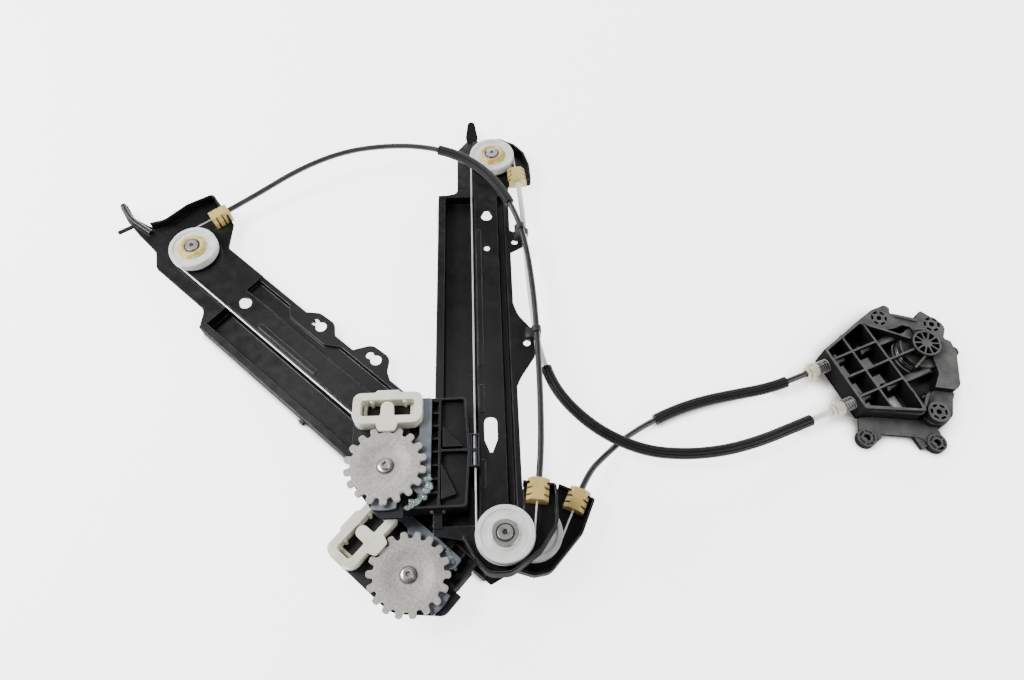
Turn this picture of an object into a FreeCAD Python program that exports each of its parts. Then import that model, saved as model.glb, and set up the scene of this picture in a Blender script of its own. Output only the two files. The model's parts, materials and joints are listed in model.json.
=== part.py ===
import FreeCAD, Part
import math
import os

from FreeCAD import Placement, Rotation, Vector

# Dual rail window regulator, laid flat as it comes out of its box. Millimetres.
# The origin is the foot of the drum housing's left fixing boss. +Z is up, the floor is z = 0,
# +Y runs towards the upper ends of the rails.
# Each rail has its own axes: u along the rail from the lower pulley to the upper one,
# v across it towards the carrier, w up from the plane of the cable.

os.makedirs("parts", exist_ok=True)

# Sheet steel, cable and running fits
sheet = 1.8
pulley_diameter = 48.0
pulley_width = 9.0
groove_depth = 2.3
groove_half_width = 1.15
wire_diameter = 1.6
conduit_diameter = 5.6
sleeve_diameter = 10.2
sleeve_wall_gap = 0.1
pulley_hub_radius = 13.0
pulley_web = 3.3
pulley_rim_width = 4.0
pin_diameter = 10.0
pin_head_radius = 7.2
pin_head_height = 1.4
pin_rivet_radius = 6.4
washer_radius = 11.5
washer_thickness = 1.2
running_gap = 0.05
free_gap = 0.3
seat_gap = 0.1

# Rail section, heights above the plane of the cable
plate_top = -7.0
flange_top = -9.0
flange_width = 5.0
groove_slope = 1.5
groove_left = -5.0
platform_right = -3.4
groove_top = -12.6
tray_top = -18.0
hem_under = -7.0
hem_reach = 5.5
platform_left = 20.0
tray_right = 23.5
tray_start = 9.0
lip_height = 8.0
bead_width = 5.0
bead_height = 0.9
seat_top_radius = 9.0
seat_foot_radius = 11.0

# Front rail: place of the lower pulley, direction, and sizes of its own
front_base = Vector(-301.7, -89.0, 20.0)
front_heading = 139.9
front_drop = 0.0
front_span = 443.0
front_lip = 52.0
front_edge = -25.0
front_tray_end = 372.0
front_carrier_at = 54.0

# Rear rail: its lower end lies over the front rail, its upper end comes down to the floor
rear_base = Vector(-325.2, -97.6, 50.0)
rear_heading = 92.3
rear_drop = 4.56
rear_span = 419.0
rear_lip = 56.0
rear_edge = -15.5
rear_tray_end = 369.5
rear_carrier_at = 58.0

# Holes and beads of the rails: keyholes (u, v, large radius, small radius, spacing),
# slots (u, u, v, radius), ear holes (u, v, radius), beads (u, u, v),
# and the flat of the front rail's upper ear that reaches in over the groove (u, u, v)
front_keyholes = ((284.5, -23.0, 5.4, 3.8, 8.0), (218.4, -31.5, 5.4, 3.8, 8.0), (359.0, 7.0, 6.0, 4.2, 3.5))
front_flat = (250.0, 328.0, -11.0)
front_beads = ((250.0, 330.0, 14.5), (60.0, 150.0, 14.5))
rear_keyholes = ((340.0, 7.8, 5.6, 3.6, 5.0),)
rear_slots = ((82.0, 108.0, 9.3, 5.6), (294.0, 301.0, 8.3, 2.9))
rear_ear_holes = ((184.0, -26.5, 3.4), (306.0, -20.0, 3.3))
rear_beads = ((160.0, 322.0, 16.5), (112.0, 140.0, 16.5), (42.0, 68.0, 17.0))

# Conduit stops, measured from their own pulley
stop_width = 18.4
stop_length = 19.0
stop_bottom = -6.7
stop_top = 5.2
stop_shoulder = 0.8
stop_crown_width = 10.4
stop_neck_at = 5.5
stop_neck_width = 9.0
stop_slot = 1.6
stop_slot_depth = 4.4
stop_slots_at = (1.5, -4.4)
stop_socket = 8.0
front_low_stop = (-10.2, -45.0)
front_up_stop = (13.3, -44.5)
rear_low_stop = (36.0, -28.0)
rear_up_stop = (-30.5, -25.8)
wall_top = 3.0
rear_wall_top = 0.0
hook_radius = 3.1
tongue_rise = 20.0

# Carrier, from the disc's axis along the rail and from the rail's lip across it
column_low = -35.0
column_high = 64.0
column_right = -26.0
column_left = 27.0
column_bottom = -13.0
column_top = 4.0
column_floor = -1.5
rib = 1.6
rib_line = -3.4
fin_count = 8
column_bulge = 3.0
anchor_half_length = 15.0
anchor_half_height = 3.4
nipple_radius = 2.6
nipple_length = 12.0
nipple_from_middle = 1.5
disc_offset = 40.0
arm_top = 4.0
arm_thickness = 4.0
arm_reach = 70.0
arm_low = -42.0
arm_bars = (26.0, 44.0, 60.0)
arm_bar_depth = 8.0
hub_radius = 11.0
hub_depth = 4.0
shoe_wall = 2.7
shoe_roof = 2.0
insert_thickness = 3.0
insert_right = 3.2
insert_strip = 10.0
insert_low = -24.0
insert_pad_radius = 27.0
lobe_reach = 2.5
lobe_half = 10.0
disc_diameter = 68.0
disc_thickness = 2.5
disc_dish = 3.2
disc_dish_radius = 9.0
disc_rim_radius = 24.0
tooth_count = 18
tooth_depth = 5.6
tooth_tip_width = 5.2
tooth_gap_width = 3.4
tooth_tip_radius = 2.2
tooth_root_radius = 1.6
screw_diameter = 8.0
screw_head_diameter = 12.0
screw_head_height = 4.0
screw_socket_radius = 2.3
screw_socket_depth = 2.0
clip_length = 59.0
clip_depth = 33.0
clip_bar = 7.0
clip_low = 32.0
clip_top = 16.0
clip_nose_reach = 5.0
peg_radius = 1.8
peg_spacing = 28.0
tongue_width = 11.0
tongue_thickness = 5.0

# Clips that hold two conduits on the rear rail's ears, at (u, v) of their studs
clip_studs = ((311.0, -24.0), (191.0, -29.5))
clip_stud_radius = 1.7
clip_foot = 4.5
holder_length = 6.0
holder_wall = 1.7
holder_mouth = 3.6

# Drum housing
housing_turn = 23.1
boss_left = (-95.5, -53.1)
boss_right = (-40.3, -81.9)
housing_wall = 2.2
housing_rib = 1.7
housing_height = 25.0
floor_low = 2.0
floor_thickness = 2.0
roof_thickness = 2.0
chamber_gap = 1.5
cross_ribs = (-68.0, -41.5)
rib_drop = 0.8
duct_radius = 4.0
duct_start = -57.0
duct_ends = (-18.0, -8.0)
port_ring_radius = 7.4
port_ring_length = 7.5
boss_step = 1.0
boss_slot_inner = 5.2
boss_slot_outer = 7.6
boss_slot_depth = 6.0
skirt_height = 12.0
shelf_low = 3.0
shelf_top = 6.0
windows = ((-88.0, -70.5, 24.0, 30.0), (-88.0, -70.5, 3.0, 17.0), (-88.0, -70.5, -17.0, -3.0),
           (-88.0, -70.5, -31.0, -24.0), (-66.0, -44.0, 4.0, 15.0), (-66.0, -44.0, -15.0, -4.0),
           (-66.0, -45.0, -42.0, -28.0))
port_wall = -91.0
port_half_span = 32.3
port_spacing = 41.0
port_height = 13.0
port_insert = 6.5
duct_gap = 0.7
drum_diameter = 43.0
drum_bottom = 3.5
drum_height = 13.5
drum_bore = 10.0
stub_bottom = 7.5
drum_pitch = 2.8
groove_mouth = 1.3
groove_floor = 1.05
drum_drive_diameter = 19.0
drum_drive_depth = 8.0
drum_spline_count = 8
spider_radius = 13.0
spider_hub = 4.5
arc_rib_radius = 18.4
roof_bead = 1.5
spoke_count = 10
motor_bosses = ((-20.4, 41.6, 10.1), (21.8, 16.2, 8.9), (-28.2, -59.8, 9.8))
motor_screw_diameter = 5.0
fixing_boss_radius = 8.6
fixing_boss_height = 7.0
fixing_hole_diameter = 6.5
cap_length = 11.0
cap_diameter = 14.5
spring_length = 12.0
spring_socket = 4.0
spring_diameter = 10.6
spring_wire = 1.5
spring_turns = 7

# Values worked out from those above
pin_radius = pin_diameter / 2
wire_radius = wire_diameter / 2
conduit_radius = conduit_diameter / 2
sleeve_radius = sleeve_diameter / 2
wrap_radius = pulley_diameter / 2 - groove_depth + wire_radius + free_gap
drum_wrap = port_spacing / 2
conduit_start = stop_length / 2 - stop_socket
conduit_end = port_wall + port_insert
port_approach = port_wall - spring_length - cap_length - 4.0
insert_top = arm_top + insert_thickness
disc_under = insert_top + free_gap
disc_top = disc_under + disc_thickness + disc_dish
front_frame = Placement(front_base, Rotation(Vector(0, 0, 1), front_heading)
                        * Rotation(Vector(0, 1, 0), front_drop))
rear_frame = Placement(rear_base, Rotation(Vector(0, 0, 1), rear_heading)
                       * Rotation(Vector(0, 1, 0), rear_drop))
housing_rotation = Rotation(Vector(0, 0, 1), housing_turn)
drum_axis = housing_rotation.multVec(Vector(-boss_left[0], -boss_left[1], 0))
housing_frame = Placement(drum_axis, housing_rotation)


# Basic shapes

def outline(corners, z=0.0):
    """A flat face from corners (x, y, radius), in order, each rounded by its radius."""
    count = len(corners)
    places = [Vector(c[0], c[1], z) for c in corners]
    cuts = []
    for i in range(count):
        here = places[i]
        back = places[i - 1] - here
        ahead = places[(i + 1) % count] - here
        radius = corners[i][2] if len(corners[i]) > 2 else 0.0
        half = back.getAngle(ahead) / 2
        reach = min(radius / math.tan(half), 0.48 * back.Length, 0.48 * ahead.Length) if radius else 0.0
        if reach < 1e-6:
            cuts.append((here, here, None))
            continue
        radius = reach * math.tan(half)
        back.normalize()
        ahead.normalize()
        middle = (back + ahead).normalize() * (radius / math.sin(half) - radius)
        cuts.append((here + back * reach, here + ahead * reach, here + middle))
    edges = []
    for i in range(count):
        start, end, middle = cuts[i]
        if middle is not None:
            edges.append(Part.Arc(start, middle, end).toShape())
        following = cuts[(i + 1) % count][0]
        if end.distanceToPoint(following) > 1e-6:
            edges.append(Part.LineSegment(end, following).toShape())
    return Part.Face(Part.Wire(edges))


def slab(corners, low, high):
    return outline(corners, low).extrude(Vector(0, 0, high - low))


def block(x0, x1, y0, y1, z0, z1):
    return Part.makeBox(x1 - x0, y1 - y0, z1 - z0, Vector(x0, y0, z0))


def rod(x, y, low, high, radius):
    return Part.makeCylinder(radius, high - low, Vector(x, y, low))


def stadium(x0, x1, y, radius, low, high):
    """A slot-shaped prism along x, from end to end."""
    return slab([(x0, y - radius, radius), (x1, y - radius, radius),
                 (x1, y + radius, radius), (x0, y + radius, radius)], low, high)


def turned(profile):
    """A solid of revolution about z from (radius, height) corners."""
    points = [Vector(r, 0, h) for r, h in profile]
    face = Part.Face(Part.makePolygon(points + points[:1]))
    return face.revolve(Vector(), Vector(0, 0, 1), 360)


def offset_line(points, distance):
    """The open line shifted to its right by a distance, with mitred corners."""
    shifted = []
    for i, point in enumerate(points):
        normals = []
        for a, b in ((i - 1, i), (i, i + 1)):
            if a >= 0 and b < len(points):
                dx = points[b][0] - points[a][0]
                dy = points[b][1] - points[a][1]
                size = math.hypot(dx, dy)
                normals.append((dy / size, -dx / size))
        nx = sum(n[0] for n in normals)
        ny = sum(n[1] for n in normals)
        square = nx * nx + ny * ny
        factor = distance * len(normals) / square
        shifted.append((point[0] + nx * factor, point[1] + ny * factor))
    return shifted


def strip(line, thickness, low, high):
    """An upright wall of even thickness on the right of a line of (x, y, radius) corners."""
    inner = offset_line([(p[0], p[1]) for p in line], thickness)
    other = [inner[0] + (0,)]
    for i in range(1, len(line) - 1):
        before, here, after = line[i - 1], line[i], line[i + 1]
        cross = ((here[0] - before[0]) * (after[1] - here[1])
                 - (here[1] - before[1]) * (after[0] - here[0]))
        radius = here[2] + math.copysign(thickness, thickness * cross)
        other.append(inner[i] + (max(radius, 0.0),))
    other.append(inner[-1] + (0,))
    ends = [line[0][:2] + (0,)], [line[-1][:2] + (0,)]
    return slab(ends[0] + list(line[1:-1]) + ends[1] + other[::-1], low, high)


def fuse(first, others):
    return first.multiFuse(others).removeSplitter()


def as_group(solids):
    return Part.makeCompound(solids)


def save(name, shape, frame=None):
    placed = shape.copy()
    if frame is not None:
        placed.Placement = frame.multiply(placed.Placement)
    solids = placed.Solids
    result = solids[0] if len(solids) == 1 else Part.makeCompound(solids)
    result.exportStep("parts/" + name + ".step")


# Cable geometry

def lead_angle(stop, upper):
    """Direction in which the cable leaves a pulley for its stop, in degrees."""
    bearing = math.degrees(math.atan2(stop[1], stop[0]))
    swing = math.degrees(math.asin(wrap_radius / math.hypot(stop[0], stop[1])))
    return bearing - swing if upper else bearing + swing


def stop_frame(pulley_at, stop, upper):
    """Axes of a stop: x along the conduit, away from the pulley."""
    place = Vector(pulley_at + stop[0], stop[1], 0)
    return Placement(place, Rotation(Vector(0, 0, 1), lead_angle(stop, upper)))


def seat_corners(pulley_at, stop, upper, towards_left, towards_right):
    """Two corners of a bracket, on the outer face of the wall that holds the stop."""
    frame = stop_frame(pulley_at, stop, upper)
    outer = stop_neck_at + sheet / 2
    left = frame.multVec(Vector(outer, towards_left, 0))
    right = frame.multVec(Vector(outer, -towards_right, 0))
    return (left.x, left.y), (right.x, right.y)


def bend_edges(points):
    """Straight edges and tangent arcs along a route; one list of edges for each run."""
    cuts = []
    for i in range(1, len(points) - 1):
        back = points[i - 1] - points[i]
        ahead = points[i + 1] - points[i]
        half_turn = (math.pi - back.getAngle(ahead)) / 2
        reach = 0.45 * min(back.Length, ahead.Length)
        radius = reach / math.tan(half_turn)
        back.normalize()
        ahead.normalize()
        bisector = (back + ahead).normalize()
        middle = points[i] + bisector * (radius / math.cos(half_turn) - radius)
        cuts.append((points[i] + back * reach, middle, points[i] + ahead * reach, radius))
    starts = [points[0]] + [c[2] for c in cuts]
    ends = [c[0] for c in cuts] + [points[-1]]
    return starts, ends, cuts


def route_wire(points, first_run=0, last_run=None):
    """The path of a cord, or its stretch from the middle of one run to the middle of another."""
    starts, ends, cuts = bend_edges(points)
    last = len(points) - 2 if last_run is None else last_run
    edges = []
    for run in range(first_run, last + 1):
        start = starts[run]
        end = ends[run]
        if last_run is not None and run == first_run:
            start = (points[run] + points[run + 1]) * 0.5
        if last_run is not None and run == last:
            end = (points[run] + points[run + 1]) * 0.5
        edges.append(Part.LineSegment(start, end).toShape())
        if run < last:
            cut = cuts[run]
            edges.append(Part.Arc(cut[0], cut[1], cut[2]).toShape())
    return Part.Wire(edges)


def tube(path, radius, inner=0.0):
    """A round tube along a path that starts with a straight edge."""
    first = path.Edges[0]
    start = first.valueAt(first.FirstParameter)
    along = first.tangentAt(first.FirstParameter)
    face = Part.Face(Part.Wire([Part.makeCircle(radius, start, along)]))
    body = path.makePipe(face)
    if inner:
        bore = path.makePipe(Part.Face(Part.Wire([Part.makeCircle(inner, start, along)])))
        body = body.cut(bore)
    return body


# Pressed rails

def rail_section(edge, lip):
    """Upper line of the section from the right edge to the hem of the lip, as (v, w)."""
    groove_right = edge + flange_width
    return [(edge, flange_top - lip_height), (edge, flange_top),
            (groove_right, flange_top), (groove_right + groove_slope, groove_top),
            (groove_left, groove_top), (platform_right, plate_top), (platform_left, plate_top),
            (tray_right, tray_top), (lip, tray_top), (lip, hem_under),
            (lip - hem_reach, hem_under)]


def upright(section, u, length):
    """A solid from corners (v, w), standing across the rail at u."""
    points = [Vector(u, v, w) for v, w in section]
    face = Part.Face(Part.makePolygon(points + points[:1]))
    return face.extrude(Vector(length, 0, 0))


def end_wall(section, lip, u):
    """Closes the tray and the groove at one end of the pressed section."""
    under = offset_line(section, sheet)
    corners = under[1:9] + [(lip + sheet, plate_top), (section[1][0] + sheet, plate_top)]
    return upright(corners, u, sheet)


def pressed_length(edge, lip, tray_end):
    section = rail_section(edge, lip)
    body = upright(section + offset_line(section, sheet)[::-1], tray_start, tray_end - tray_start)
    ends = [end_wall(section, lip, tray_start), end_wall(section, lip, tray_end - sheet)]
    return body, ends


def pulley_seat(u):
    """Pressed boss under a pulley."""
    height = -pulley_width / 2 - free_gap - plate_top
    return Part.makeCone(seat_foot_radius, seat_top_radius, height + sheet / 2,
                         Vector(u, 0, plate_top - sheet / 2))


def stop_notch(frame):
    """Cuts the slot in the bracket wall that a stop's neck sits in."""
    half = stop_neck_width / 2 + seat_gap
    cutter = block(stop_neck_at - sheet, stop_neck_at + sheet, -half, half, stop_bottom, wall_top + 1)
    cutter.Placement = frame
    return cutter


def keyhole(u, v, large, small, spacing):
    """Cuts a large hole that runs out into a smaller one, spacing further up the rail."""
    neck = small * 0.8
    return rod(u, v, tray_top, 0, large).fuse([block(u, u + spacing, v - neck, v + neck, tray_top, 0),
                                               rod(u + spacing, v, tray_top, 0, small)])


def bead(u0, u1, v):
    """A pressed bead on the platform."""
    return stadium(u0, u1, v, bead_width / 2, plate_top - sheet, plate_top + bead_height)


def ear(corners, top):
    return slab(corners, top - sheet, top)


def front_rail():
    body, parts = pressed_length(front_edge, front_lip, front_tray_end)
    u_up = front_span
    edge = front_edge
    left = front_lip + sheet
    low_left, low_right = seat_corners(0, front_low_stop, False, 19.0, 14.0)
    low_line = [low_right + (2,), (-31, -27, 14), (-31, 16, 14), (-22, 27, 8), (-6, 34, 4)]
    parts.append(slab([(tray_start + sheet, edge, 0), low_left + (4,)] + low_line
                      + [(1, left, 2), (tray_start + sheet, left, 0)], plate_top - sheet, plate_top))
    up_left, up_right = seat_corners(u_up, front_up_stop, True, 27.0, 13.0)
    parts.append(slab([(front_tray_end - sheet, edge, 0), (u_up - 20, edge, 6), up_right + (3,),
                       up_left + (5,), (u_up + 48, -30, 8), (u_up + 50, -3, 14), (u_up + 58, 9, 16),
                       (u_up + 84, 14, 6), (u_up + 105, 8, 2), (u_up + 107, 15, 2), (u_up + 86, 21, 8),
                       (u_up + 62, 24, 14), (u_up + 32, 26, 10), (u_up + 16, 38, 8),
                       (front_tray_end + 12, 38, 10), (front_tray_end, left, 6),
                       (front_tray_end - sheet, left, 0)], plate_top - sheet, plate_top))
    parts.append(strip([low_left + (0,)] + low_line, sheet, plate_top - sheet, wall_top))
    parts.append(strip([up_right + (0,), up_left + (5,), (u_up + 48, -30, 8), (u_up + 50, -3, 14),
                        (u_up + 58, 9, 0)], -sheet, plate_top - sheet, wall_top))
    arm = [Vector(u_up + x, y, plate_top + 1) for x, y in ((54, 14.5), (85, 17.5), (106, 11.5))]
    parts.append(tube(route_wire(arm), hook_radius))
    parts.append(slab([(u_up + 74, 17, 0), (u_up + 78, 17, 0), (u_up + 84, 36, 2), (u_up + 80, 37, 2)],
                      plate_top - sheet, plate_top))
    parts.append(ear([(310, edge + 3, 0), (306, edge - 1, 8), (296, edge - 8, 9), (277, edge - 9, 9),
                      (267, edge, 8), (264, edge + 3, 0)], flange_top))
    parts.append(ear([(244, edge + 3, 0), (241, edge - 3, 8), (232, edge - 16, 10), (210, edge - 17, 9),
                      (202, edge - 5, 8), (188, edge + 3, 0)], flange_top))
    parts.append(block(227, 232, left - sheet, left + 3, tray_top - sheet, tray_top + 2))
    for u in (0, u_up):
        parts.append(pulley_seat(u))
    parts += [bead(u0, u1, v) for u0, u1, v in front_beads]
    u0, u1, flat_left = front_flat
    parts.append(slab([(u0, edge + 3, 0), (u0 + 18, flat_left, 8), (u1 - 12, flat_left, 8), (u1, edge + 3, 0)],
                      groove_top - sheet, flange_top))
    rail = fuse(body, parts)
    cuts = [keyhole(*hole) for hole in front_keyholes]
    inner = flat_left - sheet
    cuts.append(slab([(u0 + 6, edge + 4, 0), (u0 + 20, inner, 6), (u1 - 14, inner, 6), (u1 - 4, edge + 4, 0)],
                     tray_top, flange_top - sheet))
    cuts += [rod(u, 0, tray_top, 0, pin_radius + running_gap) for u in (0, u_up)]
    cuts.append(stop_notch(stop_frame(0, front_low_stop, False)))
    cuts.append(stop_notch(stop_frame(u_up, front_up_stop, True)))
    return rail.cut(cuts)


def rear_rail():
    body, parts = pressed_length(rear_edge, rear_lip, rear_tray_end)
    u_up = rear_span
    edge = rear_edge
    left = rear_lip + sheet
    low_left, low_right = seat_corners(0, rear_low_stop, False, 13.0, 14.5)
    low_line = [low_right + (3,), (8, -43, 16), (-14, -28, 14), (-31, -4, 14), (-31, 14, 12),
                (-18, 25, 8), (-1, 34, 4)]
    parts.append(slab([(tray_start + sheet, edge, 6), low_left + (4,)] + low_line
                      + [(4, left, 2), (tray_start + sheet, left, 0)], plate_top - sheet, plate_top))
    up_left, up_right = seat_corners(u_up, rear_up_stop, True, 14.5, 10.0)
    up_line = [up_left + (3,), (u_up - 13, -40, 14), (u_up + 6, -35, 12), (u_up + 19, -25, 10),
               (u_up + 28, -10, 6), (u_up + 28, -3, 2)]
    parts.append(slab([(rear_tray_end - sheet, edge, 0), up_right + (0,)] + up_line
                      + [(u_up + 21, 2, 6), (u_up + 12, 18, 8), (u_up + 14.6, 22.3, 2), (u_up + 30, 17, 2),
                         (u_up + 33, 27, 3), (u_up + 18, 38, 6), (rear_tray_end + 4, 38, 6),
                         (rear_tray_end, left, 4), (rear_tray_end - sheet, left, 0)],
                      plate_top - sheet, plate_top))
    parts.append(strip([low_left + (0,)] + low_line, sheet, plate_top - sheet, wall_top))
    parts.append(strip([up_right + (0,)] + up_line, -sheet, plate_top - sheet, rear_wall_top))
    tongue = slab([(0, -5, 0), (0, 5, 0), (9, 7, 5), (28, 4, 4), (28, -3, 4), (9, -6.5, 5)], 0, sheet)
    tongue.Placement = Placement(Vector(u_up + 28, 21.5, plate_top - sheet),
                                 Rotation(Vector(0, 1, 0), -tongue_rise))
    parts.append(tongue)
    parts.append(block(u_up + 27, u_up + 30, 4, 20, plate_top - sheet, plate_top + 1.5))
    parts.append(ear([(240, edge + 3, 0), (216, edge - 4, 30), (197, edge - 18, 8), (170, edge - 18, 8),
                      (148, edge - 4, 30), (132, edge + 3, 0)], flange_top))
    parts.append(ear([(326, edge + 3, 0), (320, edge - 2, 6), (318, edge - 15, 4), (302, edge - 16, 4),
                      (291, edge + 3, 0)], flange_top))
    for u in (0, u_up):
        parts.append(pulley_seat(u))
    parts += [bead(u0, u1, v) for u0, u1, v in rear_beads]
    rail = fuse(body, parts)
    cuts = [keyhole(*hole) for hole in rear_keyholes]
    cuts += [stadium(u0, u1, v, radius, tray_top, 0) for u0, u1, v, radius in rear_slots]
    cuts += [rod(u, v, tray_top, 0, radius) for u, v, radius in rear_ear_holes]
    cuts += [rod(u, v, tray_top, 0, clip_stud_radius + seat_gap) for u, v in clip_studs]
    start, _, v, radius = rear_slots[0]
    cuts.append(slab([(start - 8, v - 1.1, 0), (start + 4, v - radius, 0), (start + 4, v + radius, 0),
                      (start - 8, v + 1.1, 0)], tray_top, 0))
    cuts += [rod(u, 0, tray_top, 0, pin_radius + running_gap) for u in (0, u_up)]
    cuts.append(stop_notch(stop_frame(0, rear_low_stop, False)))
    cuts.append(stop_notch(stop_frame(u_up, rear_up_stop, True)))
    return rail.cut(cuts)


# Pulleys and their pins

def pulley():
    half = pulley_width / 2
    rim = pulley_diameter / 2
    root = rim - groove_depth
    bore = pin_radius + running_gap
    hub = pulley_hub_radius
    ring = rim - pulley_rim_width
    upper = [(root, groove_half_width), (rim, groove_half_width + 1.0), (rim - 0.6, half), (ring, half),
             (ring - 1, pulley_web), (hub + 1, pulley_web), (hub, half), (bore, half)]
    return turned([(r, -h) for r, h in upper[::-1]] + upper)


def pulley_washer():
    low = pulley_width / 2 + free_gap
    top = low + washer_thickness
    bore = pin_radius + running_gap
    return turned([(bore, low), (washer_radius, low), (washer_radius, top - 0.3),
                   (washer_radius - 0.5, top), (bore, top)])


def pulley_pin():
    low = plate_top - sheet
    top = pulley_width / 2 + free_gap + washer_thickness
    foot = low - pin_head_height
    rivet = top + pin_head_height
    return turned([(0, foot), (pin_head_radius - 0.6, foot), (pin_head_radius, foot + 0.6),
                   (pin_head_radius, low), (pin_radius, low), (pin_radius, top), (pin_rivet_radius, top),
                   (pin_rivet_radius - 0.4, rivet), (2.4, rivet), (1.8, rivet - 0.8), (0, rivet - 0.8)])


# Conduit stops and inner wires

def conduit_stop():
    half = stop_width / 2
    near = -stop_length / 2
    far = stop_length / 2
    crown = stop_crown_width / 2
    body = upright([(-half, stop_bottom), (half, stop_bottom), (half, stop_shoulder), (crown, stop_top),
                    (-crown, stop_top), (-half, stop_shoulder)], near, stop_length)
    neck_low = stop_neck_at - sheet / 2 - seat_gap
    neck_high = stop_neck_at + sheet / 2 + seat_gap
    cuts = []
    for side in (-1, 1):
        inner = side * stop_neck_width / 2
        outer = side * (half + 1)
        low, high = min(inner, outer), max(inner, outer)
        cuts.append(block(neck_low, neck_high, low, high, stop_bottom - 1, wall_top + seat_gap))
        inner = side * (half - stop_slot_depth)
        low, high = min(inner, outer), max(inner, outer)
        for at in stop_slots_at:
            cuts.append(block(at - stop_slot, at, low, high, stop_bottom - 1, stop_top + 1))
    axis = Vector(1, 0, 0)
    cuts.append(Part.makeCylinder(wire_radius + seat_gap, stop_length, Vector(near, 0, 0), axis))
    cuts.append(Part.makeCylinder(conduit_radius + seat_gap, stop_socket,
                                  Vector(far - stop_socket, 0, 0), axis))
    return body.cut(cuts)


def around(centre, angle):
    a = math.radians(angle)
    return Vector(centre + wrap_radius * math.cos(a), wrap_radius * math.sin(a), 0)


def rail_wire(span, low_stop, up_stop):
    """The inner cable from the lower stop, round both pulleys, to the upper stop."""
    low_lead = lead_angle(low_stop, False)
    up_lead = lead_angle(up_stop, True)
    low_off = low_lead - 90 + 360
    up_off = up_lead + 90
    inset = stop_length / 2 - stop_socket
    low_end = stop_frame(0, low_stop, False).multVec(Vector(inset, 0, 0))
    up_end = stop_frame(span, up_stop, True).multVec(Vector(inset, 0, 0))
    edges = [Part.LineSegment(low_end, around(0, low_off)).toShape(),
             Part.Arc(around(0, low_off), around(0, (low_off + 90) / 2), around(0, 90)).toShape(),
             Part.LineSegment(around(0, 90), around(span, 90)).toShape(),
             Part.Arc(around(span, 90), around(span, (90 + up_off) / 2), around(span, up_off)).toShape(),
             Part.LineSegment(around(span, up_off), up_end).toShape()]
    return tube(Part.Wire(edges), wire_radius)


# Carrier and what it holds; x from the disc's axis along the rail, y from the lip, w up

def carrier(lip):
    """Ribbed moulding: a guide column over the rail's lip and an arm under the disc."""
    middle = (column_low + column_high) / 2
    body = slab([(column_low, column_right, 3), (middle, column_right - column_bulge, 60),
                 (column_high, column_right, 3), (column_high, column_left, 2),
                 (column_low, column_left, 6)], column_bottom, column_top)
    wire_at = wrap_radius - lip
    anchor = block(middle - anchor_half_length, middle + anchor_half_length,
                   wire_at - nipple_radius - 1.0, column_right + 1, -anchor_half_height, anchor_half_height)
    arm_under = arm_top - arm_thickness
    arm = slab([(column_high + 2, column_left - 2, 0), (column_high + 2, arm_reach, 6), (-8, arm_reach, 26),
                (arm_low, disc_offset + 4, 8), (arm_low, column_left - 2, 0)], arm_under, arm_top)
    hub = rod(0, disc_offset, arm_under - hub_depth, arm_top, hub_radius)
    bars = [block(x, x + rib, column_left, arm_reach - 4, arm_under - arm_bar_depth, arm_top)
            for x in arm_bars]
    body = fuse(body, [arm, hub, anchor] + bars)
    cuts = anchor_pockets(middle, wire_at)
    low = column_low + rib
    high = column_high - rib
    pitch = (high - low) / fin_count
    for i in range(fin_count):
        cuts.append(block(low + i * pitch, low + (i + 1) * pitch - rib, rib_line + rib / 2,
                          column_left - 5, column_floor, column_top + 1))
    right = column_right + rib
    stop = rib_line - rib / 2
    for end, near in ((low, middle - rib / 2), (high, middle + rib / 2)):
        cuts.append(slab([(end, right, 2), (near, right - column_bulge, 2), (near, stop, 2), (end, stop, 2)],
                         column_floor, column_top + 1))
    cuts.append(block(low, high, right, shoe_right(), column_bottom - 1, column_floor - 2))
    cuts.append(block(low, high, shoe_left() + rib, column_left - rib, column_bottom - 1, column_floor - 2))
    cuts.append(block(column_low - 1, column_high + 1, shoe_right(), shoe_left(),
                      column_bottom - 1, shoe_top()))
    cuts.append(rod(0, disc_offset, column_bottom, column_top + 1, screw_diameter / 2 + seat_gap))
    body = body.cut(cuts)
    wedge = slab([(middle + 4, stop - 2, 0), (middle + 4, right + 2, 0), (middle + 22, stop - 2, 0)],
                 column_floor - 0.5, column_top - 1)
    hook = slab([(low + 6, stop - 1, 0), (low + 10, right + 7, 1), (middle - 12, stop - 1, 0)],
                column_floor - 0.5, column_top - 1)
    return fuse(body, [wedge, hook])


def anchor_pockets(middle, wire_at):
    """A bore for the wire and two open pockets for its nipples."""
    length = column_high - column_low + 2
    cuts = [Part.makeCylinder(wire_radius + free_gap, length,
                              Vector(column_low - 1, wire_at, 0), Vector(1, 0, 0))]
    half = nipple_radius + seat_gap
    for low, high in nipple_ends(middle):
        cuts.append(Part.makeCylinder(half, high - low + 2 * seat_gap, Vector(low - seat_gap, wire_at, 0),
                                      Vector(1, 0, 0)))
        cuts.append(block(low - seat_gap, high + seat_gap, wire_at - half, wire_at + half,
                          0, anchor_half_height + 1))
    return cuts


def nipple_ends(middle):
    near = nipple_from_middle
    far = near + nipple_length
    return ((middle - far, middle - near), (middle + near, middle + far))


def shoe_right():
    return -hem_reach - free_gap - shoe_wall


def shoe_left():
    return sheet + free_gap + shoe_wall


def shoe_top():
    return hem_under + sheet + free_gap + shoe_roof


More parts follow.
